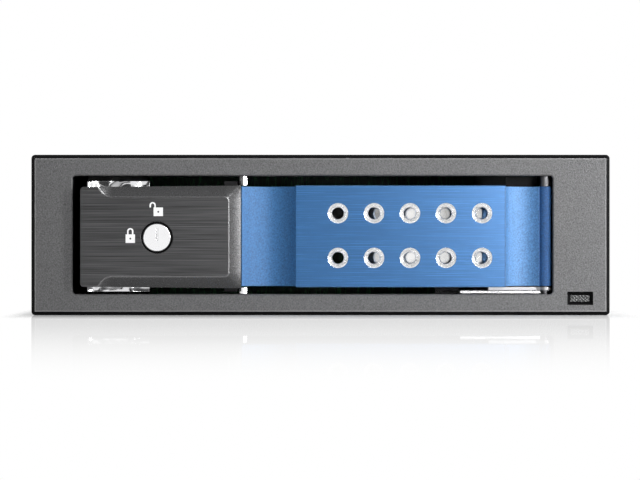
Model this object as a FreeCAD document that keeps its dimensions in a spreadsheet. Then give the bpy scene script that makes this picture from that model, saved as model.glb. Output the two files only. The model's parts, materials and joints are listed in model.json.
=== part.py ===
import FreeCAD, Part
import math
import operator
import os
from types import SimpleNamespace

import Sketcher

# Trayless hot swap rack for one 3.5 inch drive in a 5.25 inch half-height bay.
# Frame: +Z up, the front faces -Y, +X to the right as seen from the front.
# The pieces are drawn with y = 0 on the bezel's front face and then moved back by one shared placement,
# so that the origin lies at the middle of the depth, on the underside.

SIZES = {
    # bezel
    "bezel_width": 148.5,
    "bezel_height": 41.2,
    "bezel_depth": 7.0,
    "bezel_wall": 2.5,
    "bezel_skirt": 1.8,
    "bezel_edge": 0.95,
    "bezel_corner": 1.0,
    "margin_left": 10.65,
    "margin_right": 14.65,
    "margin_low": 5.4,
    "margin_high": 5.4,
    "opening_corner": 0.9,
    "opening_lip": 0.3,
    "collar_wall": 1.5,
    "boss_radius": 2.4,
    "boss_inset": 3.0,
    "window_inset": 7.65,
    "window_z": 4.35,
    "window_bevel": 0.85,
    "lens_width": 4.8,
    "lens_height": 1.6,
    "lens_clearance": 0.05,
    "lens_flange": 0.8,
    # folded steel housing
    "bezel_overhang": 1.25,
    "cover_step": 0.4,
    "chassis_depth": 164.0,
    "sheet": 1.0,
    "bend": 0.6,
    "mount_front": 47.4,
    "mount_pitch": 79.25,
    "mount_low": 10.0,
    "mount_rise": 11.84,
    "mount_hole": 1.6,
    "ear_width": 7.0,
    "lip_drop": 8.0,
    "flange_drop": 8.0,
    "cover_screw_inset": 18.0,
    "seam": 0.2,
    # drive bay and rails
    "bay_width": 102.4,
    "bay_shift": -3.0,
    "drive_length": 147.0,
    "drive_front": 12.5,
    "drive_floor": 7.3,
    "rail_wall": 2.0,
    "rail_front": 11.0,
    "rail_rear_gap": 6.0,
    "rail_ledge": 4.0,
    "rib_wall": 1.5,
    "rib_pitch": 28.0,
    "tab_width": 3.0,
    "tab_length": 6.0,
    "tab_gap": 0.1,
    # backplane
    "board_thickness": 1.6,
    "board_inset": 0.5,
    "spacer_length": 4.4,
    "spacer_radius": 2.5,
    "spacer_inset": 13.0,
    "connector_width": 42.0,
    "connector_height": 6.0,
    "connector_depth": 7.0,
    "connector_shift": -17.6,
    "connector_rise": 3.6,
    "port_reach": 3.2,
    "port_z": 9.5,
    "port_height": 6.0,
    "port_wall": 0.9,
    "data_width": 14.6,
    "data_x": -16.0,
    "power_width": 23.0,
    "power_x": 12.0,
    "vent_low": 17.0,
    "vent_drop": 2.8,
    "vent_width": 3.0,
    "vent_pitch": 6.0,
    "led_width": 3.2,
    "led_height": 1.6,
    "led_depth": 1.1,
    "led_gap": 0.3,
    # door handle
    "door_gap_right": 0.28,
    "door_gap_low": 1.85,
    "door_gap_high": 2.55,
    "door_gap_left": 1.8,
    "scoop_width": 13.9,
    "cove_width": 10.32,
    "plate_proud": 1.2,
    "plate_thickness": 3.0,
    "handle_thickness": 5.0,
    "end_trim": 0.25,
    "plate_break": 0.15,
    "scoop_depth": 3.2,
    "cove_radius": 5.55,
    "cove_depth": 3.35,
    "neck_drop": 1.3,
    "neck_gap": 0.5,
    "recess_margin": 3.3,
    "vent_hole": 1.5,
    "vent_sink": 1.1,
    "vent_row_lift": 0.2,
    # hinge and ejector drive
    "pin_radius": 0.8,
    "pin_fit": 0.05,
    "spacer_play": 0.1,
    "pin_seat": 3.0,
    "eye_radius": 1.6,
    "eye_back": 0.6,
    "crank_radius": 6.0,
    "crank_angle": 130.0,
    "crank_swing": 100.0,
    "crank_sheet": 0.85,
    "crank_pin_radius": 1.2,
    "crank_slot_gap": 0.35,
    "crank_edge": 0.9,
    "crank_screw_grip": 2.4,
    "slide_sheet": 0.7,
    "slide_gap": 0.15,
    "slide_rail_gap": 0.4,
    "slide_width": 7.8,
    "slide_edge": 1.3,
    "slide_drop_gap": 0.8,
    "slide_drop_run": 4.0,
    "pusher_height": 15.0,
    "pusher_gap": 0.9,
    "stud_front": 40.0,
    "stud_pitch": 80.0,
    "stud_radius": 1.5,
    "stud_head": 2.8,
    "stud_head_height": 0.9,
    "stud_gap": 0.2,
    # door carrier and drive spring
    "carrier_inset_left": 1.3,
    "carrier_reach_right": 1.6,
    "carrier_inset": 0.45,
    "carrier_depth": 5.5,
    "carrier_wall": 2.0,
    "carrier_rim": 1.6,
    "screw_edge": 4.1,
    "screw_inset": 2.4,
    "screw_radius": 1.0,
    "screw_head": 2.0,
    "screw_head_height": 1.4,
    "screw_grip": 2.0,
    "screw_fit": 0.05,
    "spring_sheet": 0.4,
    "spring_foot": 4.0,
    "spring_joggle": 1.4,
    "spring_set": 1.0,
    "spring_tip": 5.2,
    "spring_lift": 1.5,
    "rivet_radius": 0.8,
    "rivet_head": 1.5,
    # latch
    "latch_width": 41.4,
    "latch_seam": 0.2,
    "latch_proud": 2.6,
    "latch_gap": 0.3,
    "latch_drop": 0.15,
    "latch_trim_left": 0.5,
    "latch_rise_right": 0.3,
    "bevel_width": 3.2,
    "bevel_depth": 1.3,
    "bevel_right": 3.3,
    "ramp_start": 3.7,
    "ramp_run": 4.9,
    "latch_corner": 0.9,
    "latch_travel": 1.3,
    "slider_sheet": 1.2,
    "slider_inset_left": 4.8,
    "slider_inset_right": 3.6,
    "slider_margin": 2.0,
    "hook_width": 4.4,
    "hook_sheet": 1.0,
    "hook_gap": 0.2,
    "hook_reach": 1.9,
    "tab_depth": 3.4,
    "guide_inset": 1.8,
    "guide_width": 16.0,
    "post_offset": 0.5,
    "post_y": 4.6,
    "post_radius": 1.35,
    "post_tenon": 0.9,
    "post_gap": 0.15,
    "latch_screw_inset": 8.2,
    "slot_play": 0.15,
    "coil_radius": 1.4,
    "coil_wire": 0.25,
    "coil_turns": 4.0,
    "coil_rise": 4.25,
    "coil_inset": 11.8,
    "coil_tab_height": 4.0,
    # key lock
    "lock_inset": 20.0,
    "lock_drop": 0.3,
    "barrel_radius": 4.05,
    "barrel_fit": 0.05,
    "barrel_sink": 0.3,
    "barrel_back": 8.4,
    "plug_radius": 3.62,
    "plug_fit": 0.05,
    "plug_sink": 0.1,
    "key_slot_width": 0.55,
    "key_slot_height": 3.0,
    "key_slot_depth": 3.0,
    "tail_radius": 1.6,
    "cam_gap": 0.3,
    "cam_sheet": 1.0,
    "cam_width": 6.0,
}

# Shares of another size
SHARES = {
    "rib_share": 0.3,
    "vent_first_share": 0.2011,
    "vent_step_share": 0.1717,
    "vent_row_share": 0.44,
    "spring_share": 0.654,
    "rivet_share": 0.13,
    "cam_share": 0.346,
}

doc = FreeCAD.newDocument("HotSwapRack")
sheet = doc.addObject("Spreadsheet::Sheet", "Sizes")
for row, (alias, number) in enumerate((SIZES | SHARES).items(), start=1):
    sheet.set(f"A{row}", alias)
    sheet.set(f"B{row}", str(number))
    sheet.setAlias(f"B{row}", alias)
doc.recompute()

OPERATIONS = {"+": operator.add, "-": operator.sub, "*": operator.mul, "/": operator.truediv}


class Size:
    """A length with its sheet formula, so that one line gives both the binding and the number."""

    def __init__(self, formula, value):
        self.formula = formula
        self.value = value

    def __add__(self, other):
        return combine(self, "+", other)

    def __radd__(self, other):
        return combine(other, "+", self)

    def __sub__(self, other):
        return combine(self, "-", other)

    def __rsub__(self, other):
        return combine(other, "-", self)

    def __mul__(self, other):
        return combine(self, "*", other)

    def __rmul__(self, other):
        return combine(other, "*", self)

    def __truediv__(self, other):
        return combine(self, "/", other)

    def __neg__(self):
        return combine(0, "-", self)


def as_size(item):
    if isinstance(item, Size):
        return item
    return Size(f"({float(item)})", float(item))


def combine(left, sign, right):
    left = as_size(left)
    right = as_size(right)
    value = OPERATIONS[sign](left.value, right.value)
    return Size(f"({left.formula} {sign} {right.formula})", value)


def root(item):
    return Size(f"sqrt({item.formula})", math.sqrt(item.value))


def cosine(item):
    return Size(f"cos({item.formula} * 1 deg)", math.cos(math.radians(item.value)))


def sine(item):
    return Size(f"sin({item.formula} * 1 deg)", math.sin(math.radians(item.value)))


def bind(thing, path, item):
    thing.setExpression(path, as_size(item).formula)


size = SimpleNamespace(**{name: Size(f"Sizes.{name}", value) for name, value in (SIZES | SHARES).items()})

# Places that follow from the sizes
bezel_half = size.bezel_width / 2
opening_left = size.margin_left - bezel_half
opening_right = bezel_half - size.margin_right
opening_low = size.margin_low
opening_high = size.bezel_height - size.margin_high
window_x = bezel_half - size.window_inset
chassis_half = bezel_half - size.bezel_overhang
chassis_height = size.bezel_height - size.cover_step
inner_half = chassis_half - size.sheet
chassis_top = chassis_height - size.sheet
chassis_rear = size.bezel_depth + size.chassis_depth
lip_half = inner_half - size.sheet
boss_x = inner_half - size.boss_inset
board_rear = chassis_rear - size.sheet - size.spacer_length
board_front = board_rear - size.board_thickness
vent_high = chassis_height - size.flange_drop - size.vent_drop
bay_left = size.bay_shift - size.bay_width / 2
bay_right = size.bay_shift + size.bay_width / 2
drive_rear = size.drive_front + size.drive_length
door_low = opening_low + size.door_gap_low
door_high = opening_high - size.door_gap_high
door_height = door_high - door_low
door_middle = (door_low + door_high) / 2
plate_front = -size.plate_proud
plate_back = plate_front + size.plate_thickness
handle_back = plate_front + size.handle_thickness
hinge_x = opening_right - size.door_gap_right - size.eye_radius
hinge_y = size.eye_back + size.eye_radius
latch_left = opening_left + size.door_gap_left
latch_right = latch_left + size.latch_width
handle_left = latch_right + size.latch_seam
plate_left = handle_left + size.scoop_width
plate_right = hinge_x - size.cove_width
plate_width = plate_right - plate_left
vent_row_rise = door_height * size.vent_row_share
vent_row_low = door_middle + size.vent_row_lift - vent_row_rise / 2
vent_first = plate_left + plate_width * size.vent_first_share
vent_step = plate_width * size.vent_step_share
carrier_left = latch_left + size.carrier_inset_left
carrier_right = plate_right + size.carrier_reach_right
carrier_back = handle_back + size.carrier_depth
carrier_inside = handle_back + size.carrier_wall
carrier_low = door_low + size.carrier_inset
carrier_high = door_high - size.carrier_inset
crank_high = door_low
crank_low = crank_high - size.crank_sheet
slide_left = bay_right - size.rail_ledge - size.slide_rail_gap - size.slide_width
slide_high = crank_low - size.slide_gap
slide_low = slide_high - size.slide_sheet
crank_pin_x = hinge_x + size.crank_radius * cosine(size.crank_angle)
crank_pin_y = hinge_y + size.crank_radius * sine(size.crank_angle)
slide_travel = size.crank_radius * (sine(size.crank_angle) - sine(size.crank_angle + size.crank_swing))
slide_floor = size.sheet + size.slide_gap
latch_front = -size.latch_proud
slider_back = handle_back - size.latch_gap
latch_back = slider_back - size.slider_sheet
latch_middle = door_middle - size.latch_drop
latch_half_left = (door_height - size.latch_trim_left) / 2
latch_half_right = (door_height + size.latch_rise_right) / 2
hook_low = door_low - size.hook_gap
hook_high = door_high + size.hook_gap
post_x = latch_right + size.post_offset
coil_tab = latch_left + size.coil_inset
coil_z = door_low + size.coil_rise
lock_x = latch_left + size.lock_inset
lock_z = door_middle - size.lock_drop
cam_front = size.barrel_back + size.cam_gap
cam_back = cam_front + size.cam_sheet
frame_shift = (size.latch_proud - chassis_rear - size.port_reach) / 2

AXES = "XYZ"
NEAR = 1e-4

pieces = []


def flat_point(pair):
    return FreeCAD.Vector(as_size(pair[0]).value, as_size(pair[1]).value, 0)


def rectangle(left, right, low, high):
    return [(left, low), (right, low), (right, high), (left, high)]


def arc_through(start, end, radius):
    """The shorter arc from start to end; a positive radius turns left on the way, a negative one right."""
    chord = end - start
    half = chord.Length / 2
    side = FreeCAD.Vector(-chord.y, chord.x, 0).normalize()
    turn = math.copysign(1, radius)
    rise = abs(radius) - math.sqrt(radius * radius - half * half)
    middle = (start + end) / 2 - side * turn * rise
    return Part.Arc(start, middle, end) if turn > 0 else Part.Arc(end, middle, start)


def add_outline(sketch, points):
    """A closed outline; a third entry on a point is the radius of the arc to the next point."""
    first = sketch.GeometryCount
    count = len(points)
    for index, point in enumerate(points):
        start = flat_point(point)
        end = flat_point(points[(index + 1) % count])
        curve = Part.LineSegment(start, end)
        if len(point) == 3:
            curve = arc_through(start, end, point[2].value)
        sketch.addGeometry(curve, False)
    starts = []
    for index, point in enumerate(points):
        curve = sketch.Geometry[first + index]
        starts.append(1 if (curve.StartPoint - flat_point(point)).Length < NEAR else 2)
    for index, point in enumerate(points):
        after = (index + 1) % count
        ends = (first + index, 3 - starts[index], first + after, starts[after])
        sketch.addConstraint(Sketcher.Constraint("Coincident", *ends))
        fix(sketch, "DistanceX", (first + index, starts[index]), point[0])
        fix(sketch, "DistanceY", (first + index, starts[index]), point[1])
        if len(point) == 3:
            span = point[2] if point[2].value > 0 else -point[2]
            fix(sketch, "Radius", (first + index,), span)


def add_circle(sketch, across, up, radius):
    index = sketch.GeometryCount
    centre = flat_point((across, up))
    sketch.addGeometry(Part.Circle(centre, FreeCAD.Vector(0, 0, 1), as_size(radius).value), False)
    fix(sketch, "DistanceX", (index, 3), across)
    fix(sketch, "DistanceY", (index, 3), up)
    fix(sketch, "Radius", (index,), radius)


def fix(sketch, kind, where, item):
    item = as_size(item)
    number = sketch.addConstraint(Sketcher.Constraint(kind, *where, item.value))
    bind(sketch, f"Constraints[{number}]", item)


class Piece:
    """One sub-part: a body that is built up feature by feature."""

    def __init__(self, label, group=False):
        self.body = doc.addObject("PartDesign::Body", label)
        self.body.Label = label
        self.body.AllowCompound = group
        bind(self.body, "Placement.Base.y", frame_shift)
        pieces.append(self.body)

    def sketch(self, plane, place, outlines, circles):
        sketch = self.body.newObject("Sketcher::SketchObject", f"{self.body.Label}_sketch")
        planes = [item for item in self.body.Origin.OriginFeatures if item.Role == f"{plane}_Plane"]
        sketch.AttachmentSupport = [(planes[0], "")]
        sketch.MapMode = "FlatFace"
        bind(sketch, "AttachmentOffset.Base.z", -as_size(place) if plane == "XZ" else place)
        for outline in outlines:
            add_outline(sketch, outline)
        for circle in circles:
            add_circle(sketch, *circle)
        return sketch

    def pad(self, plane, start, end, outlines=(), circles=()):
        """Adds material between two places along the plane's axis."""
        sketch = self.sketch(plane, start, outlines, circles)
        feature = self.body.newObject("PartDesign::Pad", f"{self.body.Label}_pad")
        feature.Profile = sketch
        bind(feature, "Length", as_size(end) - start)
        feature.Reversed = plane == "XZ"
        return self.settle()

    def cut(self, plane, start, end, outlines=(), circles=()):
        """Removes material between two places along the plane's axis."""
        before = self.body.Shape.Volume
        sketch = self.sketch(plane, start, outlines, circles)
        feature = self.body.newObject("PartDesign::Pocket", f"{self.body.Label}_cut")
        feature.Profile = sketch
        bind(feature, "Length", as_size(end) - start)
        feature.Reversed = plane != "XZ"
        self.settle()
        if not self.body.Shape.Volume < before:
            raise RuntimeError(f"{self.body.Label}: a cut removed nothing")
        return self

    def ease(self, kind, amount, test):
        """Rounds or chamfers the edges that pass a test."""
        base = self.body.Tip
        names = [f"Edge{number}" for number, edge in enumerate(base.Shape.Edges, start=1) if test(edge)]
        if not names:
            raise RuntimeError(f"{self.body.Label}: no edge to ease")
        feature = self.body.newObject(f"PartDesign::{kind}", f"{self.body.Label}_{kind.lower()}")
        feature.Base = (base, names)
        bind(feature, "Radius" if kind == "Fillet" else "Size", amount)
        return self.settle()

    def settle(self):
        """Works out the newest feature and stops if its shape is not sound."""
        doc.recompute()
        feature = self.body.Tip
        if not feature.Shape.Solids or not feature.Shape.isValid():
            raise RuntimeError(f"{feature.Name} has no sound shape")
        return self

    def fillet(self, radius, test):
        return self.ease("Fillet", radius, test)

    def chamfer(self, amount, test):
        return self.ease("Chamfer", amount, test)


def edge_span(edge, axis):
    """Lowest and highest place of an edge along an axis, from points on the edge itself."""
    places = [point[AXES.index(axis)] for point in edge.discretize(9)]
    return min(places), max(places)


def lies_at(edge, axis, place):
    low, high = edge_span(edge, axis)
    value = as_size(place).value
    return abs(low - value) < NEAR and abs(high - value) < NEAR


def lies_within(edge, axis, low, high):
    start, end = edge_span(edge, axis)
    return start > as_size(low).value - NEAR and end < as_size(high).value + NEAR


def runs_along(edge, axis):
    start, end = edge_span(edge, axis)
    return abs((end - start) - edge.Length) < NEAR


def any_place(edge, axis, places):
    return any(lies_at(edge, axis, place) for place in places)


def boss_places():
    return [(-boss_x, size.bezel_height / 2), (boss_x, size.bezel_height / 2)]


def screw_holes(places):
    return [(x, z, size.screw_radius + size.screw_fit) for x, z in places]


def make_bezel():
    """Moulded frame: chamfered rim, door opening with a collar, hollow back, bosses and hinge blocks."""
    depth = size.bezel_depth
    wall = size.bezel_wall
    skirt = size.bezel_skirt
    collar = size.collar_wall
    block_left = hinge_x - size.pin_seat
    block_right = hinge_x + size.pin_seat
    pin_hole = (hinge_x, hinge_y, size.pin_radius + size.pin_fit / 2)
    post_hole = (post_x, size.post_y, size.post_tenon + size.pin_fit / 2)
    lens_half = size.lens_width / 2 + size.lens_clearance
    lens_rise = size.lens_height / 2 + size.lens_clearance

    bezel = Piece("front_bezel")
    bezel.pad("XZ", 0, depth, [rectangle(-bezel_half, bezel_half, 0, size.bezel_height)])
    bezel.fillet(size.bezel_corner, lambda edge: runs_along(edge, "Y"))
    bezel.chamfer(size.bezel_edge, lambda edge: lies_at(edge, "Y", 0))
    bezel.cut("XZ", 0, depth, [rectangle(opening_left, opening_right, opening_low, opening_high)])
    bezel.fillet(
        size.opening_corner,
        lambda edge: runs_along(edge, "Y") and lies_within(edge, "X", opening_left, opening_right)
        and lies_within(edge, "Z", opening_low, opening_high),
    )
    bezel.chamfer(
        size.opening_lip,
        lambda edge: lies_at(edge, "Y", 0) and lies_within(edge, "X", opening_left, opening_right)
        and lies_within(edge, "Z", opening_low, opening_high),
    )
    bezel.cut("XZ", wall, depth, [
        rectangle(skirt - bezel_half, bezel_half - skirt, skirt, size.bezel_height - skirt),
        rectangle(opening_left - collar, opening_right + collar, opening_low - collar, opening_high + collar),
    ])
    bezel.pad("XZ", wall, depth, [
        rectangle(block_left, block_right, skirt, opening_low - collar),
        rectangle(block_left, block_right, opening_high + collar, size.bezel_height - skirt),
    ])
    bezel.pad("XZ", wall, depth, circles=[(x, z, size.boss_radius) for x, z in boss_places()])
    bezel.cut("XZ", wall, depth, circles=screw_holes(boss_places()))
    bezel.cut("XY", opening_low - size.pin_seat, opening_low, circles=[pin_hole])
    bezel.cut("XY", opening_high, size.bezel_height, circles=[pin_hole])
    bezel.cut("XY", opening_low - collar, opening_low, circles=[post_hole])
    bezel.cut("XY", opening_high, opening_high + collar, circles=[post_hole])
    window = rectangle(window_x - lens_half, window_x + lens_half,
                       size.window_z - lens_rise, size.window_z + lens_rise)
    bezel.cut("XZ", 0, wall, [window])
    bezel.chamfer(
        size.window_bevel,
        lambda edge: lies_at(edge, "Y", 0) and lies_within(edge, "X", window[0][0], window[1][0])
        and lies_within(edge, "Z", window[0][1], window[2][1]),
    )


def make_light_pipe():
    """Clear bar from the light on the backplane to the window, with a flange behind the bezel."""
    half = size.lens_width / 2
    rise = size.lens_height / 2
    flange = size.lens_flange
    end = board_front - size.led_depth - size.led_gap
    pipe = Piece("light_pipe")
    pipe.pad("XZ", size.window_bevel, end, [
        rectangle(window_x - half, window_x + half, size.window_z - rise, size.window_z + rise),
    ])
    pipe.pad("XZ", size.bezel_wall, size.bezel_wall + size.sheet, [
        rectangle(window_x - half - flange, window_x + half + flange,
                  size.window_z - rise - flange, size.window_z + rise + flange),
    ])


def vent_places():
    """Middle of each slot in the rear wall, in pairs about the centre line."""
    return [side * size.vent_pitch * (step + 0.5) for step in range(1, 7) for side in (-1, 1)]


def port_cutout(middle, width):
    half = width / 2 + size.seam * 2
    rise = size.port_height / 2 + size.seam * 2
    return rectangle(middle - half, middle + half, size.port_z - rise, size.port_z + rise)


def spacer_places():
    x = chassis_half - size.spacer_inset
    return [(-x, chassis_height / 2), (x, chassis_height / 2)]


def cover_screw_places():
    x = chassis_half - size.cover_screw_inset
    z = chassis_height - size.flange_drop / 2
    return [(-x, z), (x, z)]


def stud_places():
    x = slide_left + size.slide_width / 2
    return [(x, size.stud_front), (x, size.stud_front + size.stud_pitch)]


def rail_tabs(side, gap):
    """Outlines of a rail's two tabs in the floor, wider by a gap for their slots."""
    inner = (bay_left if side < 0 else bay_right) + side * size.rail_wall
    x = (inner + side * lip_half) / 2
    half = size.tab_width / 2 + gap
    reach = size.tab_length / 2 + gap
    return [rectangle(x - half, x + half, y - reach, y + reach)
            for y in (size.stud_front, size.stud_front + size.stud_pitch)]


def make_chassis_tray():
    """Floor, sides, rear wall and front ears folded from one sheet."""
    front = size.bezel_depth
    mounts = [(front + size.mount_front + along, size.mount_low + up, size.mount_hole)
              for along in (0, size.mount_pitch) for up in (0, size.mount_rise)]
    ear_inner = inner_half - size.ear_width
    ear_low = size.bezel_height / 2 - size.ear_width
    ear_high = size.bezel_height / 2 + size.ear_width
    vents = [rectangle(x - size.vent_width / 2, x + size.vent_width / 2, size.vent_low, vent_high)
             for x in vent_places()]
    floor_holes = [(x, y, size.stud_radius + size.pin_fit) for x, y in stud_places()]
    floor_slots = rail_tabs(-1, size.tab_gap) + rail_tabs(1, size.tab_gap)

    tray = Piece("chassis_tray")
    tray.pad("XZ", front, chassis_rear, [[
        (-chassis_half, 0), (chassis_half, 0), (chassis_half, chassis_top), (inner_half, chassis_top),
        (inner_half, size.sheet), (-inner_half, size.sheet), (-inner_half, chassis_top),
        (-chassis_half, chassis_top),
    ]])
    tray.fillet(size.bend + size.sheet, lambda edge: runs_along(edge, "Y") and lies_at(edge, "Z", 0))
    tray.fillet(size.bend, lambda edge: runs_along(edge, "Y") and lies_at(edge, "Z", size.sheet))
    tray.pad("XZ", chassis_rear - size.sheet, chassis_rear,
             [rectangle(-inner_half, inner_half, size.sheet / 2, chassis_top)])
    tray.pad("XZ", front, front + size.sheet, [
        rectangle(-inner_half, -ear_inner, ear_low, ear_high),
        rectangle(ear_inner, inner_half, ear_low, ear_high),
    ])
    tray.cut("XZ", front, front + size.sheet, circles=screw_holes(boss_places()))
    tray.cut("YZ", -chassis_half, -inner_half, circles=mounts)
    tray.cut("YZ", inner_half, chassis_half, circles=mounts)
    tray.cut("XZ", chassis_rear - size.sheet, chassis_rear,
             [port_cutout(size.data_x, size.data_width), port_cutout(size.power_x, size.power_width)] + vents,
             screw_holes(cover_screw_places()))
    tray.cut("XY", 0, size.sheet, floor_slots, floor_holes)


def make_top_cover():
    """Folded lid: lips inside the tray's walls and a rear flange for two screws."""
    back = chassis_rear + size.sheet
    lip_low = chassis_top - size.lip_drop
    flange_half = lip_half - size.seam
    cover = Piece("top_cover")
    cover.pad("XZ", size.bezel_depth, back,
              [rectangle(-chassis_half, chassis_half, chassis_top, chassis_height)])
    cover.pad("XZ", size.bezel_depth + size.sheet + size.seam, chassis_rear - size.sheet - size.seam, [
        rectangle(-inner_half, -lip_half, lip_low, chassis_top),
        rectangle(lip_half, inner_half, lip_low, chassis_top),
    ])
    cover.pad("XZ", chassis_rear, back,
              [rectangle(-flange_half, flange_half, chassis_height - size.flange_drop, chassis_top)])
    cover.fillet(size.bend, lambda edge: lies_at(edge, "Z", chassis_height)
                 and (any_place(edge, "X", (-chassis_half, chassis_half)) or lies_at(edge, "Y", back)))
    cover.cut("XZ", chassis_rear, back, circles=screw_holes(cover_screw_places()))


def make_rail(label, edge, side):
    """Moulded drive guide: wall, ledge under the drive, flanges, ribs and tabs in the floor."""
    wall = size.rail_wall
    outer = side * (lip_half - size.seam)
    low = size.sheet
    high = chassis_top - size.seam
    face = edge + side * wall
    back = board_front - size.rail_rear_gap
    rib_end = face + (outer - face) * size.rib_share
    ledge = edge - side * size.rail_ledge
    floor = size.drive_floor
    rail = Piece(label)
    rail.pad("XZ", size.rail_front, back, [[
        (ledge, floor - wall), (ledge, floor), (edge, floor), (edge, high), (outer, high),
        (outer, high - wall), (face, high - wall), (face, low + wall), (outer, low + wall),
        (outer, low), (edge, low), (edge, floor - wall),
    ]])
    for step in range(6):
        start = size.rail_front + size.rib_wall + step * size.rib_pitch
        left, right = sorted((face, rib_end), key=lambda item: item.value)
        rail.pad("XZ", start, start + size.rib_wall, [rectangle(left, right, low + wall, high - wall)])
    rail.pad("XY", size.seam, low, rail_tabs(side, 0))
    if side > 0:
        half = size.lens_width / 2 + size.lens_clearance
        bed = size.window_z - size.lens_height / 2 - size.lens_clearance
        top = size.window_z + size.lens_height / 2
        rail.pad("XZ", size.rail_front, back, [[
            (window_x - half - size.sheet, low + wall), (window_x + half + size.sheet, low + wall),
            (window_x + half + size.sheet, top), (window_x + half, top), (window_x + half, bed),
            (window_x - half, bed), (window_x - half, top), (window_x - half - size.sheet, top),
        ]])


def make_backplane():
    """Circuit board across the rear, with air windows and the drive's connector."""
    half = lip_half - size.board_inset
    low = size.sheet + size.board_inset
    high = chassis_top - size.board_inset
    window_edge = size.vent_pitch * 7
    bar = size.vent_pitch / 2
    board = Piece("backplane_board")
    board.pad("XZ", board_front, board_rear, [rectangle(-half, half, low, high)])
    board.cut("XZ", board_front, board_rear,
              [rectangle(-window_edge, -bar, size.vent_low, vent_high),
               rectangle(bar, window_edge, size.vent_low, vent_high)],
              screw_holes(spacer_places()))

    middle = size.bay_shift + size.connector_shift
    height = size.drive_floor + size.connector_rise
    rise = size.connector_height / 2
    front = board_front - size.connector_depth
    tongue = rise / 2
    key = size.connector_width / 2
    connector = Piece("drive_connector")
    connector.pad("XZ", front, board_front, [
        rectangle(middle - key, middle + key, height - rise, height + rise),
    ])
    connector.cut("XZ", front, board_front - size.board_thickness, [
        rectangle(middle - key + tongue, middle - tongue, height - tongue, height + tongue / 2),
        rectangle(middle + tongue, middle + key - tongue, height - tongue, height + tongue / 2),
    ])
    connector.fillet(size.bend, lambda edge: runs_along(edge, "Y")
                     and any_place(edge, "X", (middle - key, middle + key)))

    make_port("data_port", size.data_x, size.data_width)
    make_port("power_port", size.power_x, size.power_width)

    led_half = size.led_width / 2
    led_rise = size.led_height / 2
    led = Piece("status_led")
    led.pad("XZ", board_front - size.led_depth, board_front, [
        rectangle(window_x - led_half, window_x + led_half,
                  size.window_z - led_rise, size.window_z + led_rise),
    ])
    led.chamfer(size.led_gap, lambda edge: lies_at(edge, "Y", board_front - size.led_depth))


def make_port(label, middle, width):
    """Shrouded plug on the back of the board with its contact blade."""
    half = width / 2
    wall = size.port_wall
    low = size.port_z - size.port_height / 2
    high = size.port_z + size.port_height / 2
    blade = half - 2 * wall
    end = chassis_rear + size.port_reach
    port = Piece(label)
    port.pad("XZ", board_rear, end, [rectangle(middle - half, middle + half, low, high)])
    port.cut("XZ", board_rear + size.board_thickness, end, [
        rectangle(middle - half + wall, middle + half - wall, low + wall, high - wall),
        rectangle(middle - blade, middle + blade, size.port_z - wall / 2, size.port_z + wall),
    ])


def make_spacers():
    """Round spacers between the board and the rear wall."""
    spacers = Piece("board_spacers", group=True)
    spacers.pad("XZ", board_rear, chassis_rear - size.sheet,
                circles=[(x, z, size.spacer_radius) for x, z in spacer_places()])
    spacers.cut("XZ", board_rear, chassis_rear - size.sheet, circles=screw_holes(spacer_places()))


def make_screws(label, places, seat, tip):
    """Cylinder head screws along the depth; the head lies on the far side of the seat from the tip."""
    away = 1 if as_size(tip).value < as_size(seat).value else -1
    head = sorted((seat, seat + away * size.screw_head_height), key=lambda item: item.value)
    shank = sorted((seat, tip), key=lambda item: item.value)
    screws = Piece(label, group=True)
    screws.pad("XZ", *head, circles=[(x, z, size.screw_head) for x, z in places])
    screws.pad("XZ", *shank, circles=[(x, z, size.screw_radius) for x, z in places])


def make_hinge_pin():
    """Plain pin from the lower hinge block to the top of the bezel, with a spacer above the door's eye."""
    pin = Piece("hinge_pin")
    pin.pad("XY", opening_low - size.pin_seat, size.bezel_height - size.bezel_edge,
            circles=[(hinge_x, hinge_y, size.pin_radius)])
    low = door_high - size.end_trim + size.spacer_play
    high = opening_high - size.spacer_play
    spacer = Piece("hinge_spacer")
    spacer.pad("XY", low, high, circles=[(hinge_x, hinge_y, size.eye_radius - 3 * size.spacer_play)])
    spacer.cut("XY", low, high, circles=[(hinge_x, hinge_y, size.pin_radius + size.pin_fit)])


def make_strike_posts():
    """Round posts above and below the door, with tenons in the collar."""
    post_low = door_low - size.post_gap
    post_high = door_high + size.post_gap
    posts = Piece("strike_posts", group=True)
    posts.pad("XY", opening_low, post_low, circles=[(post_x, size.post_y, size.post_radius)])
    posts.pad("XY", post_high, opening_high, circles=[(post_x, size.post_y, size.post_radius)])
    tenon = [(post_x, size.post_y, size.post_tenon)]
    posts.pad("XY", opening_low - size.collar_wall, opening_low, circles=tenon)
    posts.pad("XY", opening_high, opening_high + size.collar_wall, circles=tenon)


def vent_holes(radius):
    return [(vent_first + column * vent_step, vent_row_low + row * vent_row_rise, radius)
            for column in range(5) for row in range(2)]


def handle_screw_places():
    """Two screws on a diagonal, clear of the carrier's rim."""
    rise = door_height / 2 - size.screw_edge
    return [
        (handle_left + size.screw_inset, door_middle + rise),
        (plate_right - size.screw_inset, door_middle - rise),
    ]


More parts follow.
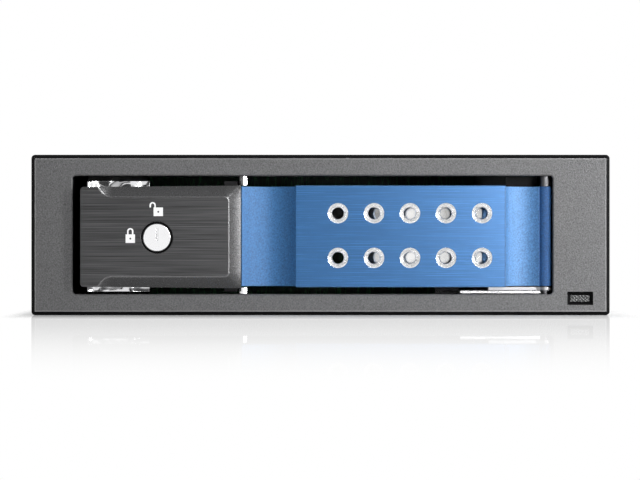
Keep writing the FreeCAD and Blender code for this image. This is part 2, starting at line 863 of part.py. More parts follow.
def make_door_handle():
    """Extruded handle: finger scoop, vented flat face, cove at the hinge and hinge eye."""
    half_scoop = (plate_left - handle_left) / 2
    scoop_radius = (half_scoop * half_scoop + size.scoop_depth * size.scoop_depth) / (2 * size.scoop_depth)
    cove_rise = size.cove_radius - size.cove_depth
    cove_x = plate_right + root(size.cove_radius * size.cove_radius - cove_rise * cove_rise)
    neck_x = hinge_x - size.eye_radius
    recess = size.recess_margin
    handle = Piece("door_handle")
    handle.pad("XY", door_low, door_high, [rectangle(handle_left, neck_x, plate_front, handle_back)])
    handle.pad("XY", door_low, door_high, [
        rectangle(neck_x - size.neck_gap, hinge_x, size.neck_drop, hinge_y + size.eye_radius / 2),
    ])
    handle.pad("XY", door_low, door_high, circles=[(hinge_x, hinge_y, size.eye_radius)])
    handle.cut("XY", door_low, door_high, circles=[
        (plate_left - half_scoop, plate_front + size.scoop_depth - scoop_radius, scoop_radius),
        (cove_x, plate_front - cove_rise, size.cove_radius),
    ])
    handle.cut("XZ", plate_back, handle_back, [
        rectangle(plate_left + recess, plate_right - recess - size.screw_inset,
                  door_low + recess, door_high - recess),
    ])
    trim = size.end_trim
    far_right = hinge_x + size.eye_radius
    handle.cut("XZ", plate_front, handle_back, [
        rectangle(handle_left, plate_left, door_low, door_low + trim),
        rectangle(handle_left, plate_left, door_high - trim, door_high),
        rectangle(plate_right, far_right, door_low, door_low + trim),
        rectangle(plate_right, far_right, door_high - trim, door_high),
    ])
    handle.chamfer(
        size.plate_break,
        lambda edge: lies_at(edge, "Y", plate_front) and runs_along(edge, "X")
        and any_place(edge, "Z", (door_low, door_high)),
    )
    handle.cut("XZ", plate_front, handle_back, circles=vent_holes(size.vent_hole))
    handle.chamfer(
        size.vent_sink,
        lambda edge: lies_at(edge, "Y", plate_front)
        and not runs_along(edge, "X") and not runs_along(edge, "Z"),
    )
    handle.cut("XY", door_low, door_high, circles=[(hinge_x, hinge_y, size.pin_radius + size.pin_fit)])
    handle.cut("XZ", handle_back - size.screw_grip, handle_back,
               circles=screw_holes(handle_screw_places()))
    handle.cut("XY", door_low, door_low + size.crank_screw_grip,
               circles=[(*crank_screw_place(), size.rivet_radius)])


def crank_screw_place():
    return plate_right - size.screw_inset, plate_front + size.handle_thickness / 2


def latch_screw_places():
    return [
        (latch_left + size.latch_screw_inset, door_middle),
        (latch_right - size.latch_screw_inset, door_middle),
    ]


def rivet_places():
    x = carrier_right - size.carrier_rim - size.rivet_head
    spread = door_height * size.rivet_share
    return [(x, door_middle - spread), (x, door_middle + spread)]


def make_door_carrier():
    """Moulded back of the door: open-backed tray with slots for the latch and a window behind the vents."""
    rim = size.carrier_rim
    play = size.slot_play
    travel = size.latch_travel
    foot = carrier_right - rim - size.spring_foot
    foot_half = door_height * size.rivet_share + size.rivet_head
    vent_margin = size.vent_hole + size.vent_sink
    barrel_room = size.barrel_radius + play
    shank_room = size.screw_radius + play
    tab_room = size.coil_tab_height / 2 + play
    window_left = vent_first - vent_margin
    window_right = vent_first + 4 * vent_step + vent_margin
    slots = [rectangle(x - travel - shank_room, x + shank_room, z - shank_room, z + shank_room)
             for x, z in latch_screw_places()]
    slots.append(rectangle(coil_tab - travel - play, coil_tab + size.slider_sheet + play,
                           coil_z - tab_room, coil_z + tab_room))
    slots.append(rectangle(window_left, window_right, vent_row_low - vent_margin,
                           vent_row_low + vent_row_rise + vent_margin))
    carrier = Piece("door_carrier")
    carrier.pad("XZ", handle_back, carrier_back,
                [rectangle(carrier_left, carrier_right, carrier_low, carrier_high)])
    carrier.cut("XZ", carrier_inside, carrier_back, [
        rectangle(carrier_left + rim, carrier_right - rim, carrier_low + rim, carrier_high - rim),
    ])
    carrier.pad("XZ", carrier_inside, carrier_back, [
        rectangle(foot, carrier_right - rim, door_middle - foot_half, door_middle + foot_half),
    ])
    carrier.cut("XZ", handle_back, carrier_inside, slots)
    barrel_slot = rectangle(lock_x - travel - barrel_room, lock_x + barrel_room,
                            lock_z - barrel_room, lock_z + barrel_room)
    carrier.cut("XZ", handle_back, carrier_inside, [barrel_slot])
    carrier.fillet(
        size.barrel_radius - play,
        lambda edge: runs_along(edge, "Y") and lies_within(edge, "X", barrel_slot[0][0], barrel_slot[1][0])
        and lies_within(edge, "Z", barrel_slot[0][1], barrel_slot[2][1]),
    )
    carrier.cut("XZ", handle_back, carrier_inside,
                circles=screw_holes(handle_screw_places()))
    carrier.cut("XZ", carrier_inside, carrier_back,
                circles=[(x, z, size.rivet_radius + size.pin_fit) for x, z in rivet_places()])


def make_drive_spring():
    """Leaf on the inside of the door, set back behind the vents, whose curled tip presses on the drive."""
    thick = size.spring_sheet
    foot_right = carrier_right - size.carrier_rim
    foot_left = foot_right - size.spring_foot
    flat_right = foot_left - size.spring_joggle
    flat_left = vent_first + vent_step + size.vent_hole / 3
    tip = flat_left - size.spring_tip
    flat = carrier_back + size.spring_set
    lift = size.spring_lift
    curl = (size.spring_tip * size.spring_tip + lift * lift) / (2 * lift)
    low = door_middle - door_height * size.spring_share / 2
    high = door_middle + door_height * size.spring_share / 2
    spring = Piece("drive_spring")
    spring.pad("XY", low, high, [[
        (foot_right, carrier_back), (foot_right, carrier_back + thick), (foot_left, carrier_back + thick),
        (flat_right, flat + thick), (flat_left, flat + thick, curl * -1), (tip, flat + thick + lift),
        (tip, flat + lift, curl), (flat_left, flat), (flat_right, flat), (foot_left, carrier_back),
    ]])
    spring.cut("XZ", carrier_back, carrier_back + thick,
               circles=[(x, z, size.rivet_radius + size.pin_fit) for x, z in rivet_places()])
    rivets = Piece("spring_rivets", group=True)
    head_low = carrier_back + thick
    rivets.pad("XZ", head_low, head_low + size.rivet_radius,
               circles=[(x, z, size.rivet_head) for x, z in rivet_places()])
    rivets.pad("XZ", carrier_inside, head_low, circles=[(x, z, size.rivet_radius) for x, z in rivet_places()])


def make_crank():
    """Steel plate under the hinge end of the handle, with the pin that drives the ejector."""
    edge = size.crank_edge
    eye = size.eye_radius
    pin_ring = size.crank_pin_radius + edge
    pin_shank = size.crank_pin_radius - edge / 3
    screw_x, screw_y = crank_screw_place()
    root_left = screw_x - size.screw_head
    crank = Piece("eject_crank")
    crank.pad("XY", crank_low, crank_high, [[
        (root_left, screw_y - size.screw_head), (screw_x + size.screw_head, screw_y - size.screw_head),
        (hinge_x - eye * 1.5, hinge_y - eye * 0.5), (hinge_x, hinge_y - eye * 0.8),
        (hinge_x + eye * 0.6, hinge_y + eye * 0.8),
        (crank_pin_x + pin_ring * 0.8, crank_pin_y + pin_ring * 0.6),
        (crank_pin_x - pin_ring * 0.5, crank_pin_y + pin_ring * 0.85),
        (root_left, screw_y + size.screw_head),
    ]])
    crank.pad("XY", crank_low, crank_high, circles=[(hinge_x, hinge_y, eye)])
    crank.pad("XY", crank_low, crank_high, circles=[(crank_pin_x, crank_pin_y, pin_ring)])
    crank.cut("XY", crank_low, crank_high, circles=[
        (hinge_x, hinge_y, size.pin_radius + size.pin_fit),
        (crank_pin_x, crank_pin_y, pin_shank + size.screw_fit),
        (screw_x, screw_y, size.rivet_radius + size.pin_fit),
    ])
    pin = Piece("crank_pin")
    pin.pad("XY", slide_low + size.slide_gap / 2, crank_low,
            circles=[(crank_pin_x, crank_pin_y, size.crank_pin_radius)])
    pin.pad("XY", crank_low, crank_high, circles=[(crank_pin_x, crank_pin_y, pin_shank)])
    screw = Piece("crank_screw")
    screw.pad("XY", crank_low, door_low + size.crank_screw_grip - size.seam,
              circles=[(screw_x, screw_y, size.rivet_radius - size.screw_fit / 2)])


def make_eject_slide():
    """Folded strip: slotted tongue under the door, run along the floor, upright pusher behind the drive."""
    sheet_thick = size.slide_sheet
    slot_half = size.crank_pin_radius + size.crank_slot_gap
    tongue_front = crank_pin_y - slot_half - size.slide_edge
    tongue_back = crank_pin_y + slot_half + size.slide_edge
    tongue_right = crank_pin_x + slot_half + size.slide_edge
    right = slide_left + size.slide_width
    drop = size.bezel_depth + slide_travel + size.slide_drop_gap
    foot = drop + size.slide_drop_run
    pusher = drive_rear + size.pusher_gap
    pusher_back = pusher + sheet_thick
    pusher_top = slide_floor + size.pusher_height
    bend = sheet_thick / 2
    slide = Piece("eject_slide")
    slide.pad("YZ", slide_left, right, [[
        (tongue_front, slide_low), (drop, slide_low), (foot, slide_floor), (pusher_back, slide_floor),
        (pusher_back, pusher_top), (pusher, pusher_top), (pusher, slide_floor + sheet_thick),
        (foot + bend, slide_floor + sheet_thick), (drop + bend, slide_high), (tongue_front, slide_high),
    ]])
    slide.fillet(sheet_thick, lambda edge: runs_along(edge, "X") and lies_at(edge, "Y", pusher)
                 and lies_at(edge, "Z", slide_floor + sheet_thick))
    slide.fillet(sheet_thick * 2, lambda edge: runs_along(edge, "X") and lies_at(edge, "Y", pusher_back)
                 and lies_at(edge, "Z", slide_floor))
    slide.pad("XY", slide_low, slide_high, [rectangle(slide_left, tongue_right, tongue_front, tongue_back)])
    far_pin_x = hinge_x - size.crank_radius
    slide.cut("XY", slide_low, slide_high, [
        rectangle(far_pin_x - slot_half, crank_pin_x + slot_half,
                  crank_pin_y - slot_half, crank_pin_y + slot_half),
    ])
    room = size.stud_radius + size.stud_gap
    slide.cut("XY", slide_floor, slide_floor + sheet_thick, [
        rectangle(x - room, x + room, y - room, y + slide_travel + room) for x, y in stud_places()
    ])
    head_low = slide_floor + sheet_thick + size.slide_gap
    studs = Piece("guide_studs", group=True)
    studs.pad("XY", 0, head_low, circles=[(x, y, size.stud_radius) for x, y in stud_places()])
    studs.pad("XY", head_low, head_low + size.stud_head_height,
              circles=[(x, y, size.stud_head) for x, y in stud_places()])


def make_latch_plate():
    """Bevelled plate: flat face between bevels, with an S-shaped ramp down to its left end."""
    base = latch_front + size.bevel_depth
    ramp_low = latch_left + size.ramp_start
    ramp_high = ramp_low + size.ramp_run
    half_run = size.ramp_run / 2
    half_rise = size.bevel_depth / 2
    ramp_radius = (half_run * half_run + half_rise * half_rise) / (2 * half_rise)
    low = latch_middle - latch_half_right
    high = latch_middle + latch_half_right
    over = size.bevel_depth
    plate = Piece("latch_plate")
    plate.pad("XY", low, high, [[
        (latch_left, base), (ramp_low, base, ramp_radius * -1),
        (ramp_low + half_run, base - half_rise, ramp_radius), (ramp_high, latch_front),
        (latch_right - size.bevel_right, latch_front), (latch_right, base),
        (latch_right, latch_back), (latch_left, latch_back),
    ]])
    plate.cut("XZ", latch_front, latch_back, [
        [(latch_left, low), (latch_right, low), (latch_left, latch_middle - latch_half_left)],
        [(latch_left, high), (latch_left, latch_middle + latch_half_left), (latch_right, high)],
    ])
    plate.fillet(size.latch_corner, lambda edge: runs_along(edge, "Y") and lies_at(edge, "X", latch_left))
    plate.cut("YZ", latch_left, latch_right, [
        [(base, low), (latch_front, low + size.bevel_width), (latch_front - over, low + size.bevel_width),
         (latch_front - over, low)],
        [(base, high), (latch_front - over, high), (latch_front - over, high - size.bevel_width),
         (latch_front, high - size.bevel_width)],
    ])
    plate.cut("XZ", latch_front, latch_back,
              circles=[(lock_x, lock_z, size.barrel_radius + size.barrel_fit)])
    plate.cut("XZ", latch_back - size.screw_grip, latch_back,
              circles=screw_holes(latch_screw_places()))


def make_latch_slider():
    """Folded steel slider behind the latch, with hooks behind the posts and a tab for the spring."""
    left = latch_left + size.slider_inset_left
    right = latch_right - size.slider_inset_right
    low = latch_middle - latch_half_left + size.slider_margin
    high = latch_middle + latch_half_left - size.slider_margin
    hook_left = latch_right - size.hook_width
    guide_left = latch_left + size.guide_inset
    hook_right = post_x - size.post_radius - size.hook_gap
    tooth_front = size.post_y + size.post_radius + size.post_gap
    tooth_back = tooth_front + size.hook_reach
    tooth_tip = hook_right + size.latch_travel - size.post_gap
    guide_right = guide_left + size.guide_width
    tab_half = size.coil_tab_height / 2
    slider = Piece("latch_slider")
    slider.pad("XZ", latch_back, slider_back, [rectangle(left, right, low, high)])
    for start, end in ((hook_low - size.hook_sheet, low), (high, hook_high + size.hook_sheet)):
        slider.pad("XZ", latch_back, slider_back, [rectangle(hook_left, hook_right, start, end)])
        slider.pad("XZ", latch_back, slider_back, [rectangle(guide_left, guide_right, start, end)])
    for start in (hook_low - size.hook_sheet, hook_high):
        end = start + size.hook_sheet
        slider.pad("XY", start, end, [[
            (hook_left, latch_back), (hook_right, latch_back), (hook_right, tooth_front),
            (tooth_tip, tooth_front), (tooth_tip, tooth_back), (hook_left, tooth_back),
        ]])
        slider.pad("XY", start, end, [
            rectangle(guide_left, guide_right, latch_back, slider_back + size.tab_depth),
        ])
    slider.pad("XZ", slider_back, carrier_inside + size.tab_depth - size.carrier_wall / 2, [
        rectangle(coil_tab, coil_tab + size.slider_sheet, coil_z - tab_half, coil_z + tab_half),
    ])
    slider.cut("XZ", latch_back, slider_back,
               circles=[(lock_x, lock_z, size.barrel_radius + size.barrel_fit)]
               + screw_holes(latch_screw_places()))


def make_latch_spring():
    """Compression coil between the carrier's end wall and the slider's tab; its wire is drawn six-sided."""
    start = carrier_left + size.carrier_rim + size.coil_wire
    end = coil_tab - size.coil_wire
    across = carrier_inside + size.coil_radius + size.coil_wire + size.seam
    length = (end - start).value
    wire = size.coil_wire.value
    helix = Part.makeHelix(length / size.coil_turns.value, length, size.coil_radius.value)
    corners = [FreeCAD.Vector(size.coil_radius.value + wire * math.cos(turn), 0, wire * math.sin(turn))
               for turn in (math.radians(60 * step) for step in range(7))]
    coil = doc.addObject("Part::Feature", "latch_spring")
    coil.Label = "latch_spring"
    coil.Shape = Part.Wire(helix.Edges).makePipeShell([Part.makePolygon(corners)], True, True)
    turn = FreeCAD.Rotation(FreeCAD.Vector(0, 1, 0), 90)
    coil.Placement = FreeCAD.Placement(FreeCAD.Vector(0, 0, 0), turn)
    bind(coil, "Placement.Base.x", start)
    bind(coil, "Placement.Base.y", across + frame_shift)
    bind(coil, "Placement.Base.z", coil_z)
    pieces.append(coil)


def make_lock():
    """Key lock: barrel in the latch, turning plug with its key slot, cam and its screw."""
    x = lock_x
    z = lock_z
    barrel_front = latch_front + size.barrel_sink
    plug_front = latch_front + size.plug_sink
    slot_half = size.key_slot_width / 2
    slot_rise = size.key_slot_height / 2
    cam_half = size.cam_width / 2
    barrel = Piece("lock_barrel")
    barrel.pad("XZ", barrel_front, size.barrel_back, circles=[(x, z, size.barrel_radius)])
    barrel.cut("XZ", barrel_front, size.barrel_back, circles=[(x, z, size.plug_radius + size.plug_fit)])
    plug = Piece("lock_plug")
    plug.pad("XZ", plug_front, size.barrel_back, circles=[(x, z, size.plug_radius)])
    plug.chamfer(size.plug_sink * 2, lambda edge: lies_at(edge, "Y", plug_front))
    plug.cut("XZ", plug_front, plug_front + size.key_slot_depth, [
        rectangle(x - slot_half, x + slot_half, z - slot_rise / 2, z + slot_rise * 1.5),
    ])
    plug.pad("XZ", size.barrel_back, cam_back, circles=[(x, z, size.tail_radius)])
    cam = Piece("lock_cam")
    cam_tip = z + door_height * size.cam_share
    cam.pad("XZ", cam_front, cam_back, [rectangle(x - cam_half, x + cam_half, z - cam_half, cam_tip)])
    cam.fillet(cam_half / 2, lambda edge: runs_along(edge, "Y"))
    cam.cut("XZ", cam_front, cam_back, circles=[(x, z, size.tail_radius + size.screw_fit)])
    screw = Piece("cam_screw")
    screw.pad("XZ", cam_back, cam_back + size.cam_sheet, circles=[(x, z, size.screw_head)])


def check_and_write():
    """Stops on any failed object, then writes one file for each sub-part."""
    doc.recompute()
    for item in doc.Objects:
        if "Invalid" in item.State or "Error" in item.State:
            raise RuntimeError(f"{item.Label} failed: {item.State}")
    for piece in pieces:
        if piece.Shape.isNull() or not piece.Shape.isValid():
            raise RuntimeError(f"{piece.Label} has no valid shape")
    os.makedirs("parts", exist_ok=True)
    for piece in pieces:
        piece.Shape.exportStep(os.path.join("parts", f"{piece.Label}.step"))


make_bezel()
make_light_pipe()
make_chassis_tray()
make_top_cover()
make_rail("left_rail", bay_left, -1)
make_rail("right_rail", bay_right, 1)
make_backplane()
make_spacers()
make_screws("board_screws", spacer_places(), board_front, chassis_rear - size.sheet - size.seam)
make_screws("bezel_screws", boss_places(), size.bezel_depth + size.sheet, size.bezel_wall + size.seam)
make_screws("cover_screws", cover_screw_places(), chassis_rear + size.sheet, chassis_rear - size.sheet)
make_hinge_pin()
make_strike_posts()
make_door_handle()
make_door_carrier()
make_screws("handle_screws", handle_screw_places(), carrier_inside, handle_back - size.screw_grip + size.seam)
make_drive_spring()
make_crank()
make_eject_slide()
make_latch_plate()
make_latch_slider()
make_screws("latch_screws", latch_screw_places(), carrier_inside + size.slot_play,
            latch_back - size.screw_grip + size.seam)
make_latch_spring()
make_lock()
check_and_write()
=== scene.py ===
import json
import math

import bmesh
import bpy
from mathutils import Matrix, Vector


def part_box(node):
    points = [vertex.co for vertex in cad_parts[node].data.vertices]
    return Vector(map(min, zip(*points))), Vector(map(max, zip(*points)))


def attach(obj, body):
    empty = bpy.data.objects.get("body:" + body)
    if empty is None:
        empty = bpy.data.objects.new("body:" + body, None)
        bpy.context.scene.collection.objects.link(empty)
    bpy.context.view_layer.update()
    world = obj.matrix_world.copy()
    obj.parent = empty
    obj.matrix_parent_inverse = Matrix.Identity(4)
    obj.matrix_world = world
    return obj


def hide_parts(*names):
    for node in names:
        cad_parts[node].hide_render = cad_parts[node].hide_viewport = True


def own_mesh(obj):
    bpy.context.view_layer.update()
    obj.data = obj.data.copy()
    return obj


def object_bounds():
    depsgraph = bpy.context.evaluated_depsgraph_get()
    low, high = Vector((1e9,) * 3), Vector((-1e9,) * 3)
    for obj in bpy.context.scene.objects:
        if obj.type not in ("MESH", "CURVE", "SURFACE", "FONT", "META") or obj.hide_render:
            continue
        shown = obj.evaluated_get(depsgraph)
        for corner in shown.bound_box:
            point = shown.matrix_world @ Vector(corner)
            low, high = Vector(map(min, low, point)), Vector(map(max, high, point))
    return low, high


MM = 0.001
MICRON = 0.000001
WHITE = (1.0, 1.0, 1.0, 1.0)

# Bezel, in millimetres, and the strength of the painted highlight line along its rim
BEZEL_RIM = 0.95
RIM_HIGHLIGHT_LINE = 0.22
RIM_HIGHLIGHT_SOFT = 0.08
RIM_HIGHLIGHT_STRENGTH = 0.22
LIP_ACROSS = (-65.0, 61.0)
LIP_UP = (2.0, 39.0)

# Radius that breaks the edges, in metres
MOULDED_EDGE = 0.12 * MM
BLASTED_EDGE = 0.12 * MM
BRUSHED_EDGE = 0.15 * MM
LATCH_EDGE = 0.2 * MM
SHEET_EDGE = 0.1 * MM

# Grain: turn of its pattern, change of its roughness, and specks in a metre of blasted metal
GRAIN_TILT = 0.6
GRAIN_CHANGE = 0.06
SPARKLE = 2600

# Brushing: streaks and bands in a metre, strength of the bands, and depth as a share of the pitch
STREAK_ALONG = 45
BAND_ALONG = 9
BAND_STRENGTH = 0.125
STREAK_RELIEF = 0.007

# Vent holes in the door handle, in millimetres
VENT_FIRST = 4.5
VENT_STEP = 9.22
VENT_COUNT = 5
VENT_ROWS = (14.73, 26.17)
VENT_SINK = 2.65
SINK_DEPTH = 1.15

# Ends of the door handle and of the latch's slider, in millimetres, and the tone of the painted shade line
# at the handle's end
END_SHADE_LINE = 0.25
END_SHADE_SOFT = 0.05
END_SHADE_TONE = 0.5
EYE_LEFT = 56.2
SCOOP_RIGHT = 0.0
HOOK_LEFT = -35.0

# Materials of the door handle; the eye and the scoop take darker blues that are painted shade
FACE, BARE, BLASTED, EYE_PAINTED_SHADE, SCOOP_PAINTED_SHADE = range(5)
BLUE_ROUGHNESS = 0.24

# How faces are told apart: part of the normal along Y, and distance from the front in millimetres
FLAT_NORMAL = -0.9999
FRONT_NORMAL = -0.99
SLOPED_NORMAL = -0.3
FRONT_NEAR = 0.05

# How edges are told apart: angles in radians
FOLD_ANGLE = 0.6
CORNER_ANGLE = 1.0
LEAF_ANGLE = 0.3

# Latch plate, in millimetres and steps
LATCH_TRIM = 0.4
LATCH_INSET = 0.4
LATCH_CORNER = 0.9
CORNER_STEPS = 6
CORNER_NEAR = 0.0001
CORNER_LENGTH = 1.0
BEVEL_WIDTH = 3.2
BEVEL_DEPTH = 1.3
BEVEL_ROUND = 1.1
BEVEL_OVER = 0.2
ROUND_STEPS = 4
FACE_CORNER = 0.9
SWEEP_START = 1.9
SWEEP_RUN = 6.2
SWEEP_OVER = 0.3
SWEEP_PAST = 1.0
EDGE_ROUND = 0.4
EDGE_STEPS = 3
BACK_NEAR = 0.1
JOIN_WITHIN = 0.0005
BARREL_FIT = 0.05
HOLE_STEPS = 64

# Materials of the latch plate
LATCH_FLAT, LATCH_SATIN, LATCH_WORN_HIGHLIGHT = range(3)

# Latch spring, in millimetres and steps
COIL_WIRE = 0.25
COIL_TURNS = 4
COIL_STEPS = 24
COIL_SIDES = 10

# Leaf behind the vents, in millimetres: length and height of its curl, and where its bend starts
LEAF_TIP = 5.2
LEAF_LIFT = 1.5
LEAF_CROWN = 38.8
LEAF_STEP = 1.5

# Printed padlocks on the latch, in millimetres, and how metallic the latch is
CLOSED_SIGN = (-48.61, 19.66)
CLOSED_LIFT = 0.79
OPEN_SIGN = (-41.46, 26.52)
OPEN_LIFT = 0.59
OPEN_SWING = -1.43
SIGN_BODY = (1.2, 1.1)
BOW_RADIUS = 0.62
BOW_HALF_WIDTH = 0.19
KEYHOLE_RADIUS = 0.24
PRINT_EDGE = 0.03
INK_DEPTH = 0.05
INK_SOFT = 0.02
LATCH_METAL = 0.7

# Prisms of the light pipe, in radians per millimetre
PRISM_TURN = 7.0

# Camera, in metres, and its sensor in millimetres
CAMERA_DISTANCE = 0.7
CAMERA_HEIGHT = 0.01931
CAMERA_SHIFT = -0.00013
PICTURE_WIDTH = 0.16414
SENSOR_WIDTH = 36.0

# Floor, in metres
FLOOR_SIZE = 8.0
MIRROR_END = 0.33
SHADOW_REACH = 0.03

# Look of the floor: how much faster it turns white to the sides, its own white close by, and its mirror
SIDE_FALL = 4.0
FLOOR_COLOUR = (0.92, 0.92, 0.92, 1.0)
FLOOR_ROUGHNESS = 0.6
CLOSE_WHITE = 0.15
FLOOR_MIRROR = 0.33
MIRROR_ROUGHNESS = 0.02
GRAZING = (0.8, 0.94)

# Studio by direction: brightness at the left, from above and all round, where it changes, and the spot
LEFT_LEVEL = 0.05
SIDE_FADE = (-0.06, 0.16)
TOP_LEVEL = 0.45
TOP_FADE = (0.1, 0.7)
BEHIND_FADE = (-0.2, 0.0)
SPOT_ACROSS = -0.06
SPOT_RADIUS = 0.055
SPOT_SOFT = 0.01
SOFT_LIGHT = 0.18

# Lamps: name, place, width and height in metres, and power in watts
LAMPS = (
    ("strip", (0.13, -0.56, 0.12), 0.05, 0.4, 1.4),
    ("side", (0.21, -0.24, 0.06), 0.03, 0.26, 0.65),
    ("rake", (0.32, -0.12, 0.05), 0.03, 0.26, 0.5),
    ("fill", (-0.5, -0.8, 0.6), 0.8, 0.8, 0.45),
)
LAMP_AIM = 0.02

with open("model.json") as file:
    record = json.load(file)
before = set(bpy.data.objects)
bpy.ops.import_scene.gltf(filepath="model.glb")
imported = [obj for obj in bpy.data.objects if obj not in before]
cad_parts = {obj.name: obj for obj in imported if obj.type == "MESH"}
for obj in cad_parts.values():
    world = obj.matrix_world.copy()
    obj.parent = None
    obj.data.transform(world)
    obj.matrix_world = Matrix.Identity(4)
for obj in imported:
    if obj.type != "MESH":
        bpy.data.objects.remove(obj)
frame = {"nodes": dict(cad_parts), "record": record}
cad_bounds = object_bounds()
nodes = frame["nodes"]
fronts = {node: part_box(node)[0].y for node in ("front_bezel", "door_handle", "latch_plate")}


def srgb(red, green, blue):
    """Linear colour of an 8 bit display colour."""
    def linear(value):
        share = value / 255
        return share / 12.92 if share <= 0.04045 else ((share + 0.055) / 1.055) ** 2.4
    return (linear(red), linear(green), linear(blue), 1.0)


class Graph:
    """Short ways to add nodes to a node tree."""

    def __init__(self, tree):
        self.tree = tree

    def add(self, kind, inputs=None, **settings):
        node = self.tree.nodes.new(kind)
        for name, value in settings.items():
            setattr(node, name, value)
        for socket, value in (inputs or {}).items():
            self.feed(node.inputs[socket], value)
        return node

    def feed(self, socket, value):
        """Links another node's socket, or sets a plain value."""
        if isinstance(value, bpy.types.NodeSocket):
            self.tree.links.new(value, socket)
        else:
            socket.default_value = value

    def math(self, operation, first, second=0.0):
        return self.add("ShaderNodeMath", {0: first, 1: second}, operation=operation).outputs[0]

    def total(self, *values):
        result = values[0]
        for value in values[1:]:
            result = self.math("ADD", result, value)
        return result

    def spread(self, value, low, high, start=0.25, end=0.75, shape="LINEAR"):
        """A value between start and end moved to between low and high."""
        places = {"Value": value, "From Min": start, "From Max": end, "To Min": low, "To Max": high}
        return self.add("ShaderNodeMapRange", places, interpolation_type=shape).outputs[0]

    def inside(self, value, edge, soft):
        """One below the edge and zero above it, with a soft change."""
        return self.spread(value, 1.0, 0.0, edge - soft, edge + soft, "SMOOTHSTEP")

    def distance(self, *offsets):
        squares = [self.math("MULTIPLY", offset, offset) for offset in offsets]
        return self.math("SQRT", self.total(*squares))

    def grey(self, amount):
        return self.add("ShaderNodeCombineColor", {0: amount, 1: amount, 2: amount}).outputs[0]

    def blend(self, share, first, second, mode="MIX"):
        """Two colours mixed; sockets 0, 6, 7 and output 2 are the ones for colours."""
        node = self.add("ShaderNodeMix", data_type="RGBA", blend_type=mode)
        for index, value in ((0, share), (6, first), (7, second)):
            self.feed(node.inputs[index], value)
        return node.outputs[2]

    def choose(self, share, first, second):
        return self.add("ShaderNodeMixShader", {0: share, 1: first, 2: second}).outputs[0]

    def camera_ray(self):
        return self.add("ShaderNodeLightPath").outputs["Is Camera Ray"]

    def background_ray(self):
        """One for the rays that show the background: straight, mirrored or through clear pieces."""
        path = self.add("ShaderNodeLightPath").outputs
        rays = [path[name] for name in ("Is Camera Ray", "Is Glossy Ray", "Is Transmission Ray")]
        return self.math("MINIMUM", self.total(*rays), 1.0)


class Paint(Graph):
    """A material under construction."""

    def __init__(self, name, metallic=0.0, edge=0.0):
        self.material = bpy.data.materials.new(name)
        self.material.use_nodes = True
        super().__init__(self.material.node_tree)
        self.surface = self.tree.nodes["Principled BSDF"]
        self.place = self.add("ShaderNodeTexCoord").outputs["Object"]
        self.base = WHITE
        self.edge = edge
        self.set("Metallic", metallic)

    def set(self, socket, value):
        self.feed(self.surface.inputs[socket], value)

    def axes(self):
        """The three coordinates in millimetres."""
        scale = (1 / MM, 1 / MM, 1 / MM)
        scaled = self.add("ShaderNodeVectorMath", {0: self.place, 1: scale}, operation="MULTIPLY")
        return self.add("ShaderNodeSeparateXYZ", {0: scaled.outputs[0]}).outputs

    def noise(self, stretch, detail=3.0, tilt=0.0):
        """Noise whose grain is about one over the stretch, in metres, along each axis."""
        inputs = {"Vector": self.place, "Rotation": (tilt, tilt, tilt), "Scale": stretch}
        place = self.add("ShaderNodeMapping", inputs).outputs[0]
        settings = {"Vector": place, "Scale": 1.0, "Detail": detail}
        return self.add("ShaderNodeTexNoise", settings).outputs["Fac"]

    def colour(self, value):
        self.base = value
        self.set("Base Color", value)

    def shade(self, *amounts):
        """Makes the colour darker or lighter by plain factors."""
        for amount in amounts:
            self.colour(self.blend(1.0, self.base, self.grey(amount), "MULTIPLY"))

    def coat(self, weight, roughness):
        """Clear layer whose gloss isn't tinted by the colour below it."""
        self.set("Coat Weight", weight)
        self.set("Coat Roughness", roughness)

    def bump(self, height, depth):
        """Fine relief, over edges that are broken by a small radius."""
        inputs = {"Strength": 1.0, "Distance": depth, "Height": height}
        if self.edge:
            inputs["Normal"] = self.add("ShaderNodeBevel", {"Radius": self.edge}, samples=6).outputs[0]
        self.set("Normal", self.add("ShaderNodeBump", inputs).outputs[0])


def grained_plastic(name, colour, roughness, grain, depth, gloss, speck=0.26):
    """Moulded plastic with a fine even grain."""
    paint = Paint(name, edge=MOULDED_EDGE)
    pits = paint.noise((grain, grain, grain), detail=2.0, tilt=GRAIN_TILT)
    clouds = paint.noise((60, 60, 60))
    paint.colour(colour)
    paint.shade(paint.spread(pits, 1 - speck, 1 + speck), paint.spread(clouds, 0.97, 1.03))
    paint.set("Specular IOR Level", gloss)
    paint.set("Roughness", paint.spread(pits, roughness - GRAIN_CHANGE, roughness + GRAIN_CHANGE))
    paint.bump(pits, depth)
    return paint


def bezel_face():
    """Grey face of the bezel, with a thin painted highlight line along its rim."""
    paint = grained_plastic("bezel_grey", srgb(92, 92, 93), roughness=0.5, grain=3000, depth=60 * MICRON,
                            gloss=0.4, speck=0.46)
    low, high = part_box("front_bezel")
    middle = (low + high) / 2 / MM
    half = (high - low) / 2 / MM
    across, _, up = paint.axes()
    inset = []
    for place, centre, reach in ((across, middle.x, half.x), (up, middle.z, half.z)):
        offset = paint.math("ABSOLUTE", paint.math("SUBTRACT", place, centre))
        inset.append(paint.math("SUBTRACT", reach - BEZEL_RIM, offset))
    # Painted highlight: the face turns light grey in a thin line just inside the black rim
    line = paint.inside(paint.math("MINIMUM", *inset), RIM_HIGHLIGHT_LINE, RIM_HIGHLIGHT_SOFT)
    share = paint.math("MULTIPLY", line, RIM_HIGHLIGHT_STRENGTH)
    paint.colour(paint.blend(share, paint.base, srgb(205, 205, 206)))
    return paint.material


